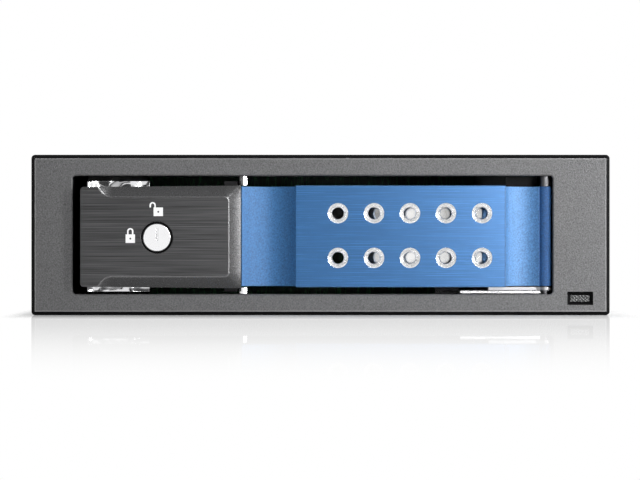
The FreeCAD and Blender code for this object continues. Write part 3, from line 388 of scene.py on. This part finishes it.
def brushed_metal(name, colour, roughness, streak, metallic=1.0, edge=BRUSHED_EDGE, pitch=4000):
    """Metal brushed along X: fine streaks in tone, roughness and height, and broader bands in tone."""
    paint = Paint(name, metallic, edge)
    fine = paint.noise((STREAK_ALONG, pitch, pitch), detail=4.0)
    bands = paint.noise((BAND_ALONG, pitch / 6, pitch / 4), detail=2.0)
    band = streak * BAND_STRENGTH
    paint.colour(colour)
    paint.shade(paint.spread(fine, 1 - streak, 1 + streak), paint.spread(bands, 1 - band, 1 + band))
    paint.set("Roughness", paint.spread(fine, roughness - 0.05, roughness + 0.07))
    paint.bump(fine, STREAK_RELIEF / pitch)
    return paint


def blasted_metal(name, colour, roughness, metallic, speck=0.38, relief=20 * MICRON, coat=0.0):
    """Bead blasted and anodised metal: a fine even sparkle."""
    paint = Paint(name, metallic, edge=BLASTED_EDGE)
    sparkle = paint.noise((SPARKLE, SPARKLE, SPARKLE), detail=2.0, tilt=GRAIN_TILT)
    paint.colour(colour)
    paint.coat(coat, roughness)
    paint.shade(paint.spread(sparkle, 1 - speck, 1 + speck))
    paint.set("Roughness", paint.spread(sparkle, roughness - GRAIN_CHANGE, roughness + GRAIN_CHANGE))
    paint.bump(sparkle, relief)
    return paint.material


def polished_metal(name, colour, roughness, wave=0.0, pitch=180):
    """Bright metal with faint wear in its polish; pressed sheet has slow waves too."""
    paint = Paint(name, metallic=1.0, edge=SHEET_EDGE)
    wear = paint.noise((900, 900, 900), detail=4.0)
    paint.colour(colour)
    paint.shade(paint.spread(wear, 0.95, 1.03))
    paint.set("Roughness", paint.spread(wear, roughness * 0.7, roughness * 1.4))
    if wave:
        paint.bump(paint.noise((pitch, pitch, pitch * 1.4), detail=1.0), wave)
    else:
        paint.bump(wear, 2 * MICRON)
    return paint.material


def zinc_sheet(name):
    """Zinc coated sheet with its crystal pattern and faint rolling lines."""
    paint = Paint(name, metallic=0.9, edge=SHEET_EDGE)
    flakes = paint.add("ShaderNodeTexVoronoi", {"Vector": paint.place, "Scale": 260.0}).outputs["Color"]
    tone = paint.add("ShaderNodeRGBToBW", {0: flakes}).outputs[0]
    lines = paint.noise((30, 900, 900))
    paint.colour(srgb(178, 180, 182))
    paint.shade(paint.spread(tone, 0.9, 1.06, 0.1, 0.9), paint.spread(lines, 0.95, 1.05))
    paint.set("Roughness", paint.spread(tone, 0.45, 0.6, 0.1, 0.9))
    paint.bump(lines, 4 * MICRON)
    return paint.material


def clear_plastic(name):
    """Frosted clear plastic of the light pipe, with a fine prism pattern."""
    paint = Paint(name)
    haze = paint.noise((1500, 200, 1500))
    across, _, up = paint.axes()
    waves = [paint.math("SINE", paint.math("MULTIPLY", place, PRISM_TURN)) for place in (across, up)]
    prisms = paint.math("MULTIPLY", *waves)
    paint.colour(srgb(66, 67, 67))
    paint.shade(paint.spread(prisms, 0.6, 1.5, -1.0, 1.0), paint.spread(haze, 0.8, 1.2))
    paint.set("Roughness", paint.spread(haze, 0.15, 0.3))
    paint.set("Transmission Weight", 0.3)
    paint.set("IOR", 1.49)
    paint.bump(prisms, 30 * MICRON)
    return paint.material


def board_laminate(name):
    """Green solder mask over copper tracks."""
    paint = Paint(name)
    field = paint.noise((900, 900, 120), detail=0.0)
    track = paint.inside(paint.math("ABSOLUTE", paint.math("SUBTRACT", field, 0.5)), 0.03, 0.01)
    paint.colour(paint.blend(track, srgb(14, 84, 46), srgb(40, 122, 66)))
    paint.set("Roughness", paint.spread(paint.noise((700, 700, 700)), 0.25, 0.4))
    paint.bump(track, 20 * MICRON)
    return paint.material


class Padlock:
    """Mask of a printed padlock: body, keyhole and a bow that can be lifted and swung to one side."""

    def __init__(self, paint, centre, lift, swing=0.0):
        self.paint = paint
        self.across, _, self.up = paint.axes()
        top = centre[1] + SIGN_BODY[1]
        bow = (centre[0] + swing, top + lift)
        leg_half = (BOW_HALF_WIDTH, lift / 2)
        shapes = [self.box(centre, SIGN_BODY), self.arch(bow)]
        for side in (-1, 1):
            shapes.append(self.box((bow[0] + side * BOW_RADIUS, top + lift / 2), leg_half))
        mask = shapes[0]
        for shape in shapes[1:]:
            mask = paint.math("MAXIMUM", mask, shape)
        hole = paint.inside(self.away(centre), KEYHOLE_RADIUS, PRINT_EDGE)
        self.mask = paint.math("SUBTRACT", mask, hole)

    def offsets(self, centre):
        return [self.paint.math("SUBTRACT", value, place)
                for value, place in ((self.across, centre[0]), (self.up, centre[1]))]

    def away(self, centre):
        return self.paint.distance(*self.offsets(centre))

    def box(self, centre, half):
        beyond = [self.paint.math("SUBTRACT", self.paint.math("ABSOLUTE", offset), reach)
                  for offset, reach in zip(self.offsets(centre), half)]
        return self.paint.inside(self.paint.math("MAXIMUM", *beyond), 0.0, PRINT_EDGE)

    def arch(self, centre):
        ring = self.paint.math("ABSOLUTE", self.paint.math("SUBTRACT", self.away(centre), BOW_RADIUS))
        upper = self.paint.math("GREATER_THAN", self.up, centre[1])
        return self.paint.math("MULTIPLY", self.paint.inside(ring, BOW_HALF_WIDTH, PRINT_EDGE), upper)


def latch_face():
    """Black brushed latch with the two printed padlocks."""
    paint = brushed_metal("latch_black", srgb(73, 73, 74), roughness=0.32, streak=0.85,
                          metallic=LATCH_METAL, edge=LATCH_EDGE, pitch=9500)
    signs = paint.math("MAXIMUM", Padlock(paint, CLOSED_SIGN, CLOSED_LIFT).mask,
                       Padlock(paint, OPEN_SIGN, OPEN_LIFT, OPEN_SWING).mask)
    _, depth, _ = paint.axes()
    on_face = paint.inside(depth, fronts["latch_plate"] / MM + INK_DEPTH, INK_SOFT)
    ink = paint.math("MULTIPLY", signs, on_face)
    paint.colour(paint.blend(ink, paint.base, srgb(252, 252, 252)))
    paint.set("Metallic", paint.spread(ink, LATCH_METAL, 0.0, 0.0, 1.0))
    return paint.material


def add_piece(name, mesh, *materials):
    """A new object from a finished bmesh."""
    data = bpy.data.meshes.new(name)
    mesh.to_mesh(data)
    mesh.free()
    for material in materials:
        data.materials.append(material)
    piece = bpy.data.objects.new(name, data)
    bpy.context.collection.objects.link(piece)
    return piece


def all_parts(mesh):
    return list(mesh.verts) + list(mesh.edges) + list(mesh.faces)


def arc(centre, radius, start, end, side=1, steps=10):
    """Points along an arc between two angles, each with the direction across it, outwards or inwards."""
    points = []
    for index in range(steps + 1):
        angle = math.radians(start + (end - start) * index / steps)
        away = Vector((math.cos(angle), math.sin(angle)))
        points.append((Vector(centre) + away * radius, away * side))
    return points


def square(away):
    """A direction that reaches the sides of a square instead of a circle."""
    return away / max(abs(away.x), abs(away.y))


def latch_path(left, right, half):
    """Edge of the latch's flat face, round from its lower left to its upper left, about the middle line."""
    top = half + SWEEP_OVER
    face_top = half - BEVEL_WIDTH
    face_right = right - BEVEL_WIDTH
    half_run = SWEEP_RUN / 2
    half_rise = (top - face_top) / 2
    radius = (half_run ** 2 + half_rise ** 2) / (2 * half_rise)
    turn = math.degrees(math.asin(half_run / radius))
    start = left + SWEEP_START
    upper = arc((face_right - FACE_CORNER, face_top - FACE_CORNER), FACE_CORNER, 0, 90)
    upper += arc((start + SWEEP_RUN, face_top + radius), radius, 270, 270 - turn, side=-1)
    upper += arc((start, top - radius), radius, 90 - turn, 90)[1:]
    upper.append((Vector((left - SWEEP_PAST, top)), Vector((0, 1))))
    flip = Vector((1, -1))
    return [(point * flip, away * flip) for point, away in reversed(upper)] + upper


def bevel_rows():
    """Offset and depth of the rows across the bevel: a small round, then a straight slope."""
    slope = math.atan2(BEVEL_DEPTH, BEVEL_WIDTH)
    turns = [slope * step / ROUND_STEPS for step in range(ROUND_STEPS + 1)]
    rows = [(BEVEL_ROUND * math.sin(turn), BEVEL_ROUND * (1 - math.cos(turn))) for turn in turns]
    last = rows[-1]
    reach = BEVEL_WIDTH + BEVEL_OVER
    return rows + [(reach, last[1] + (reach - last[0]) * BEVEL_DEPTH / BEVEL_WIDTH)]


def bevel_place(point, away, offset, sweep_end):
    """A point of the face's edge moved outwards; the last row has square corners at the right."""
    squared = offset > BEVEL_WIDTH and point.x > sweep_end
    return point + offset * (square(away) if squared else away)


def fill_between(mesh, *loops):
    """Flat faces between closed loops of vertices."""
    edges = []
    for loop in loops:
        for index, vertex in enumerate(loop):
            pair = (loop[index - 1], vertex)
            edges.append(mesh.edges.get(pair) or mesh.edges.new(pair))
    bmesh.ops.triangle_fill(mesh, edges=edges, use_beauty=True)


def latch_front_faces(mesh, low, high, hole_centre, hole_radius):
    """Flat face with the lock's hole, and the bevels round it, larger than the plate."""
    middle = (low.z + high.z) / 2
    path = latch_path(low.x, high.x, (high.z - low.z) / 2)
    sweep_end = low.x + SWEEP_START + SWEEP_RUN
    rows = []
    for offset, depth in bevel_rows():
        places = [bevel_place(point, away, offset, sweep_end) for point, away in path]
        rows.append([mesh.verts.new((place.x, low.y + depth, middle + place.y)) for place in places])
    for inner, outer in zip(rows, rows[1:]):
        for index in range(len(path) - 1):
            mesh.faces.new((inner[index], inner[index + 1], outer[index + 1], outer[index]))
    circle = arc(hole_centre, hole_radius, 0, 360, steps=HOLE_STEPS)[1:]
    hole = [mesh.verts.new((point.x, low.y, point.y)) for point, _ in circle]
    fill_between(mesh, rows[0], hole)


def trim_latch(mesh, low, high):
    """Cuts the front to the plate's outline, which is lower at its left end."""
    length = high.x - low.x
    low_right = Vector((high.x, low.y, low.z))
    cuts = ((low, (-1, 0, 0)), (high, (1, 0, 0)), (high, (-LATCH_TRIM, 0, length)),
            (low_right, (-LATCH_TRIM, 0, -length)))
    for place, across in cuts:
        bmesh.ops.bisect_plane(mesh, geom=all_parts(mesh), plane_co=place, plane_no=across,
                               clear_outer=True)


def wall_latch(mesh, back):
    """Walls from the open edges of the front, and the back."""
    open_edges = [edge for edge in mesh.edges if edge.is_boundary]
    walls = bmesh.ops.extrude_edge_only(mesh, edges=open_edges)["geom"]
    for vertex in (item for item in walls if isinstance(item, bmesh.types.BMVert)):
        vertex.co.y = back
    bmesh.ops.triangle_fill(mesh, edges=[edge for edge in mesh.edges if edge.is_boundary])
    bmesh.ops.recalc_face_normals(mesh, faces=list(mesh.faces))


def is_left_corner(edge, left):
    """True for an edge from front to back at a corner of the left end."""
    first, second = (vertex.co for vertex in edge.verts)
    at_left = max(first.x, second.x) < left + CORNER_NEAR
    runs_back = abs(first.y - second.y) > CORNER_LENGTH
    return at_left and runs_back and edge.calc_face_angle(0) > CORNER_ANGLE


def is_front_edge(edge, back):
    """True for a fold that doesn't reach the back."""
    before_back = max(vertex.co.y for vertex in edge.verts) < back - BACK_NEAR
    return before_back and edge.calc_face_angle(0) > FOLD_ANGLE


def round_latch(mesh, low, high):
    """Round corners at the left end and broken edges round the front."""
    corners = [edge for edge in mesh.edges if is_left_corner(edge, low.x)]
    bmesh.ops.bevel(mesh, geom=corners, offset=LATCH_CORNER, segments=CORNER_STEPS, profile=0.5,
                    affect="EDGES")
    front = [edge for edge in mesh.edges if is_front_edge(edge, high.y)]
    bmesh.ops.bevel(mesh, geom=front, offset=EDGE_ROUND, segments=EDGE_STEPS, profile=0.5,
                    affect="EDGES", clamp_overlap=True)
    for vertex in mesh.verts:
        vertex.co.y = max(vertex.co.y, low.y)
    bmesh.ops.remove_doubles(mesh, verts=list(mesh.verts), dist=JOIN_WITHIN)


def sharpen_folds(mesh, angle):
    """Marks the edges that fold by more than an angle as sharp."""
    for edge in mesh.edges:
        edge.smooth = edge.calc_face_angle(0) < angle


def finish_latch(mesh, edge_end):
    """Brushed flat face, a lighter worn edge round it whose colour is partly a painted highlight, satin
    bevels and walls.
    """
    for face in mesh.faces:
        flat = face.normal.y < FLAT_NORMAL
        face.smooth = not flat
        if flat:
            face.material_index = LATCH_FLAT
        elif face.calc_center_median().y < edge_end:
            face.material_index = LATCH_WORN_HIGHLIGHT
        else:
            face.material_index = LATCH_SATIN
    sharpen_folds(mesh, FOLD_ANGLE)


def latch_cover(*materials):
    """The latch plate as shown: its flat face runs to the left end, where the bevels run out in an S."""
    low, high = (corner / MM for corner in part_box("latch_plate"))
    low.x += LATCH_INSET
    barrel_low, barrel_high = (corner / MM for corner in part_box("lock_barrel"))
    centre = (barrel_low + barrel_high) / 2
    radius = (barrel_high.x - barrel_low.x) / 2 + BARREL_FIT
    mesh = bmesh.new()
    latch_front_faces(mesh, low, high, (centre.x, centre.z), radius)
    trim_latch(mesh, low, high)
    wall_latch(mesh, high.y)
    round_latch(mesh, low, high)
    round_depth = bevel_rows()[-2][1]
    finish_latch(mesh, low.y + round_depth)
    mesh.transform(Matrix.Scale(MM, 4))
    cover = add_piece("latch_cover", mesh, *materials)
    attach(cover, "latch")
    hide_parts("latch_plate")


def coil_rings(low, high, wire):
    """Centre and outward direction of each ring of wire along the spring."""
    middle = (low + high) / 2
    radius = (high.z - low.z) / 2 - wire
    rings = []
    for step in range(COIL_TURNS * COIL_STEPS + 1):
        angle = 2 * math.pi * step / COIL_STEPS
        away = Vector((0, math.cos(angle), math.sin(angle)))
        along = low.x + wire + (high.x - low.x - 2 * wire) * step / (COIL_TURNS * COIL_STEPS)
        rings.append((Vector((along, middle.y, middle.z)) + away * radius, away))
    return rings


def coil_mesh(low, high):
    """Round wire along the rings, closed at both ends."""
    wire = COIL_WIRE * MM
    turns = [2 * math.pi * side / COIL_SIDES for side in range(COIL_SIDES)]
    mesh = bmesh.new()
    rows = []
    for centre, away in coil_rings(low, high, wire):
        ways = [away * math.cos(turn) + Vector((math.sin(turn), 0, 0)) for turn in turns]
        rows.append([mesh.verts.new(centre + wire * way) for way in ways])
    for first, second in zip(rows, rows[1:]):
        for side in range(COIL_SIDES):
            corners = (first[side - 1], first[side], second[side], second[side - 1])
            mesh.faces.new(corners).smooth = True
    for end in (rows[0], rows[-1]):
        mesh.faces.new(end)
    bmesh.ops.recalc_face_normals(mesh, faces=list(mesh.faces))
    return mesh


def latch_coil(material):
    """The latch's spring in round wire, on the door's body, with a mesh of its own."""
    low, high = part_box("latch_spring")
    coil = add_piece("latch_coil", coil_mesh(low, high), material)
    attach(coil, "door")
    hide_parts("latch_spring")
    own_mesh(coil)


def leaf_shift(across, left):
    """Depth that an even bend adds at a place along the leaf, without the curl of the CAD leaf."""
    radius = (LEAF_TIP ** 2 + LEAF_LIFT ** 2) / (2 * LEAF_LIFT)
    into_curl = max(left + LEAF_TIP - across, 0.0)
    curl = radius - math.sqrt(radius ** 2 - into_curl ** 2)
    bend = max(LEAF_CROWN - across, 0.0) / (LEAF_CROWN - left)
    return LEAF_LIFT * bend ** 2 - curl


def bent_leaf(material):
    """The leaf behind the vents, bent evenly from its fixed end to its tip, which stays where it is."""
    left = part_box("drive_spring")[0].x / MM
    mesh = bmesh.new()
    mesh.from_mesh(nodes["drive_spring"].data)
    for step in range(1, int((LEAF_CROWN - left) / LEAF_STEP) + 1):
        place = Vector(((left + step * LEAF_STEP) * MM, 0, 0))
        bmesh.ops.bisect_plane(mesh, geom=all_parts(mesh), plane_co=place, plane_no=(1, 0, 0))
    for vertex in mesh.verts:
        vertex.co.y += leaf_shift(vertex.co.x / MM, left) * MM
    mesh.normal_update()
    for face in mesh.faces:
        face.smooth = True
        face.material_index = 0
    sharpen_folds(mesh, LEAF_ANGLE)
    leaf = add_piece("bent_leaf", mesh, material)
    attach(leaf, "door")
    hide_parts("drive_spring")


def dress(node, *materials, choose=None):
    """Gives a CAD node its materials; choose picks one for each polygon."""
    mesh = nodes[node].data
    mesh.materials.clear()
    for material in materials:
        mesh.materials.append(material)
    for polygon in mesh.polygons:
        polygon.material_index = choose(polygon) if choose else 0


def on_front(node, polygon):
    """True for a polygon of the flat face at the front of a node."""
    return polygon.normal.y < FRONT_NORMAL and polygon.center.y < fronts[node] + FRONT_NEAR * MM


def handle_face(colour):
    """Brushed flat face of the handle, with a fine painted shade line at its right end."""
    paint = brushed_metal("blue_brushed", colour, BLUE_ROUGHNESS, streak=0.2, metallic=0.45, pitch=9000)
    paint.coat(weight=0.35, roughness=BLUE_ROUGHNESS)
    mesh = nodes["door_handle"].data
    faces = [polygon for polygon in mesh.polygons if on_front("door_handle", polygon)]
    end = max(mesh.vertices[index].co.x for polygon in faces for index in polygon.vertices) / MM
    across = paint.axes()[0]
    # Painted shade: the face darkens in a thin line where it ends at the right
    line = paint.inside(paint.math("SUBTRACT", end, across), END_SHADE_LINE, END_SHADE_SOFT)
    paint.shade(paint.spread(line, 1.0, END_SHADE_TONE, 0.0, 1.0))
    return paint.material


def in_countersink(polygon):
    """True for a sloped polygon close to the front, round one of the vent holes."""
    place = polygon.center
    reach = min(math.hypot(place.x - (VENT_FIRST + column * VENT_STEP) * MM, place.z - row * MM)
                for column in range(VENT_COUNT) for row in VENT_ROWS)
    near_front = place.y < fronts["door_handle"] + SINK_DEPTH * MM
    return reach < VENT_SINK * MM and near_front and polygon.normal.y < SLOPED_NORMAL


def handle_choice(polygon):
    """Brushed flat face, bare countersinks, blasted cove, and the eye at the hinge and the blasted scoop in
    darker blues that are painted shade.
    """
    if on_front("door_handle", polygon):
        return FACE
    if polygon.center.x > EYE_LEFT * MM:
        return EYE_PAINTED_SHADE
    if polygon.center.x < SCOOP_RIGHT * MM:
        return SCOOP_PAINTED_SHADE
    return BARE if in_countersink(polygon) else BLASTED


def slider_choice(polygon):
    """Bright guides at the left end, darker hooks at the right."""
    return 1 if polygon.center.x > HOOK_LEFT * MM else 0


def bezel_choice(polygon):
    """Grey front face and lip of the door opening, black rim and sides."""
    place = polygon.center / MM
    by_opening = LIP_ACROSS[0] < place.x < LIP_ACROSS[1] and LIP_UP[0] < place.z < LIP_UP[1]
    lip = by_opening and polygon.normal.y < SLOPED_NORMAL
    return 0 if lip or on_front("front_bezel", polygon) else 1


def slot_finishes():
    """One material for each slot of the record."""
    black = grained_plastic("black_plastic", srgb(27, 27, 28), roughness=0.45, grain=2600,
                            depth=20 * MICRON, gloss=0.2).material
    bright = brushed_metal("bright_steel", srgb(196, 196, 198), roughness=0.24, streak=0.08).material
    blue = blasted_metal("blue_blasted", srgb(76, 123, 172), roughness=0.5, metallic=0.25, coat=0.3)
    return {
        "grey_plastic": black,
        "black_plastic": black,
        "clear_plastic": clear_plastic("clear_plastic"),
        "zinc_steel": zinc_sheet("zinc_steel"),
        "bright_steel": bright,
        "chrome_metal": polished_metal("chrome_metal", srgb(251, 251, 252), roughness=0.1),
        "black_anodised": latch_face(),
        "brass_metal": polished_metal("brass_metal", srgb(205, 172, 104), roughness=0.25),
        "board_laminate": board_laminate("board_laminate"),
        "blue_anodised": blue,
    }


def dress_bezel():
    """Grey front with a black rim; the lock's ring has the rim's black."""
    rim = grained_plastic("rim_black", srgb(10, 10, 11), roughness=0.5, grain=2600,
                          depth=20 * MICRON, gloss=0.06).material
    dress("front_bezel", bezel_face(), rim, choose=bezel_choice)
    dress("lock_barrel", rim)


def dress_latch(face, steel):
    """The latch's cover, its coil and its slider."""
    satin = blasted_metal("latch_satin", srgb(75, 75, 76), roughness=0.28, metallic=LATCH_METAL,
                          speck=0.06, relief=4 * MICRON)
    # Lighter grey than the satin: partly a worn edge, partly a painted highlight along the round of the flat
    # face
    worn_highlight_edge = blasted_metal("latch_worn_highlight_edge", srgb(104, 104, 105), roughness=0.22, metallic=LATCH_METAL,
                             speck=0.06, relief=4 * MICRON)
    latch_cover(face, satin, worn_highlight_edge)
    latch_coil(steel)
    pressed = polished_metal("pressed_steel", srgb(226, 226, 228), roughness=0.1, wave=2.5 * MM)
    hooks = brushed_metal("black_steel", srgb(38, 38, 39), roughness=0.4, streak=0.08).material
    dress("latch_slider", pressed, hooks, choose=slider_choice)


def dress_handle(blasted):
    """The handle's five finishes; the eye and the scoop take darker blues that are painted shade."""
    face = handle_face(srgb(36, 94, 147))
    bare = polished_metal("bare_metal", srgb(250, 250, 250), roughness=0.16, wave=30 * MICRON, pitch=1400)
    # Painted shade: darker blues for the eye at the hinge and for the scoop, which is a darker copy of the
    # blasted blue
    eye = blasted_metal("blue_eye_painted_shade", srgb(28, 72, 121), roughness=0.7, metallic=0.1)
    scoop = blasted_metal("blue_scoop_painted_shade", srgb(46, 100, 151), roughness=0.5, metallic=0.25, coat=0.3)
    dress("door_handle", face, bare, blasted, eye, scoop, choose=handle_choice)


def dress_inside():
    """The carrier and the leaf of the door, the crank and the hinge."""
    gloss = grained_plastic("gloss_black", srgb(24, 24, 25), roughness=0.16, grain=900,
                            depth=10 * MICRON, gloss=0.5).material
    dress("door_carrier", gloss)
    bent_leaf(polished_metal("leaf_steel", srgb(250, 250, 250), roughness=0.1))
    crank = brushed_metal("crank_steel", srgb(150, 150, 152), roughness=0.4, streak=0.12).material
    dress("eject_crank", crank)
    dark_steel = brushed_metal("dark_steel", srgb(96, 96, 98), roughness=0.4, streak=0.08).material
    for node in ("hinge_pin", "hinge_spacer"):
        dress(node, dark_steel)


def dress_all():
    """Materials for every CAD node by its slot in the record, then the pieces with finishes of their own."""
    finishes = slot_finishes()
    for part in frame["record"]["subparts"]:
        dress(part["node"], finishes[part["material_slot"]])
    dress_bezel()
    dress_latch(finishes["black_anodised"], finishes["bright_steel"])
    dress_handle(finishes["blue_anodised"])
    dress_inside()


def floor_gap(paint):
    """Distance on the floor from the object's box in millimetres, which grows faster to the sides."""
    low, high = (Vector(corner) / MM for corner in cad_bounds)
    across, depth, _ = paint.axes()
    beyond = []
    for place, start, end, fall in ((across, low.x, high.x, SIDE_FALL), (depth, low.y, high.y, 1.0)):
        offset = paint.math("ABSOLUTE", paint.math("SUBTRACT", place, (start + end) / 2))
        outside = paint.math("MAXIMUM", paint.math("SUBTRACT", offset, (end - start) / 2), 0.0)
        beyond.append(paint.math("MULTIPLY", outside, fall))
    return paint.distance(*beyond)


def plain_floor(paint, gap):
    """White that keeps the shadow close to the object."""
    reach = SHADOW_REACH / MM / 2
    close = paint.inside(gap, reach, reach)
    paint.colour(FLOOR_COLOUR)
    paint.shade(paint.spread(paint.noise((40, 40, 40)), 0.995, 1.0))
    paint.set("Roughness", FLOOR_ROUGHNESS)
    white = paint.add("ShaderNodeEmission", {"Color": WHITE, "Strength": 1.0}).outputs[0]
    level = paint.spread(close, 1.0, CLOSE_WHITE, 0.0, 1.0)
    share = paint.math("MULTIPLY", paint.background_ray(), level)
    return paint.choose(share, paint.surface.outputs[0], white)


def floor_shine(paint, gap):
    """Share of the mirror, which shows near the object and at grazing angles."""
    half_way = MIRROR_END / MM / 2
    facing = paint.add("ShaderNodeLayerWeight", {"Blend": 0.5}).outputs["Facing"]
    grazing = paint.spread(facing, 0.0, FLOOR_MIRROR, *GRAZING, "SMOOTHSTEP")
    shine = paint.math("MULTIPLY", paint.inside(gap, half_way, half_way), grazing)
    return paint.math("MULTIPLY", shine, paint.camera_ray())


def stage_floor():
    """White floor with the object's shadow and a short reflection."""
    bpy.ops.mesh.primitive_plane_add(size=FLOOR_SIZE)
    floor = bpy.context.object
    floor.name = "floor"
    paint = Paint("floor_white")
    gap = floor_gap(paint)
    plain = plain_floor(paint, gap)
    gloss = {"Color": WHITE, "Roughness": MIRROR_ROUGHNESS}
    mirror = paint.add("ShaderNodeBsdfGlossy", gloss).outputs[0]
    surface = paint.choose(floor_shine(paint, gap), plain, mirror)
    paint.feed(paint.tree.nodes["Material Output"].inputs[0], surface)
    floor.data.materials.append(paint.material)


def studio_level(graph, across, up):
    """Brightness towards the camera: it rises to the right and to the top, with one round spot."""
    side = graph.spread(across, LEFT_LEVEL, 1.0, *SIDE_FADE, "SMOOTHSTEP")
    top = graph.spread(up, 0.0, TOP_LEVEL, *TOP_FADE, "SMOOTHSTEP")
    away = graph.distance(graph.math("SUBTRACT", across, SPOT_ACROSS), up)
    spot = graph.inside(away, SPOT_RADIUS, SPOT_SOFT)
    return graph.math("MINIMUM", graph.total(side, top, spot), 1.0)


def studio_world():
    """White behind the object; towards the camera a soft studio, brighter on the right, with one spot."""
    world = bpy.data.worlds.new("studio")
    bpy.context.scene.world = world
    world.use_nodes = True
    graph = Graph(world.node_tree)
    way = graph.add("ShaderNodeTexCoord").outputs["Generated"]
    across, depth, up = graph.add("ShaderNodeSeparateXYZ", {0: way}).outputs
    level = studio_level(graph, across, up)
    behind = graph.spread(depth, 0.0, 1.0, *BEHIND_FADE, "SMOOTHSTEP")
    white = graph.math("MAXIMUM", behind, graph.camera_ray())
    view = graph.blend(white, graph.grey(level), WHITE)
    shown = graph.add("ShaderNodeBackground", {"Color": view, "Strength": 1.0}).outputs[0]
    light = graph.add("ShaderNodeBackground", {"Color": WHITE, "Strength": SOFT_LIGHT}).outputs[0]
    surface = graph.choose(graph.background_ray(), light, shown)
    graph.feed(graph.tree.nodes["World Output"].inputs[0], surface)


def lamp(name, place, target, width, height, power):
    """A soft upright lamp aimed at a point."""
    data = bpy.data.lights.new(name, "AREA")
    data.shape = "RECTANGLE"
    data.size = width
    data.size_y = height
    data.energy = power
    light = bpy.data.objects.new(name, data)
    bpy.context.collection.objects.link(light)
    light.location = place
    light.rotation_euler = (Vector(target) - Vector(place)).to_track_quat("-Z", "Y").to_euler()


def light_stage():
    """A strip beside the camera, two close lamps at the right side and a weak fill at the upper left."""
    front = (0.0, cad_bounds[0][1], LAMP_AIM)
    for name, place, width, height, power in LAMPS:
        lamp(name, place, front, width, height, power)
    bpy.context.scene.view_settings.view_transform = "Standard"


def set_camera():
    """Level view straight onto the bezel."""
    data = bpy.data.cameras.new("front_camera")
    data.sensor_width = SENSOR_WIDTH
    data.lens = SENSOR_WIDTH * CAMERA_DISTANCE / PICTURE_WIDTH
    camera = bpy.data.objects.new("front_camera", data)
    bpy.context.collection.objects.link(camera)
    camera.location = (CAMERA_SHIFT, fronts["front_bezel"] - CAMERA_DISTANCE, CAMERA_HEIGHT)
    camera.rotation_euler = (math.pi / 2, 0, 0)
    bpy.context.scene.camera = camera


dress_all()
stage_floor()
studio_world()
light_stage()
set_camera()
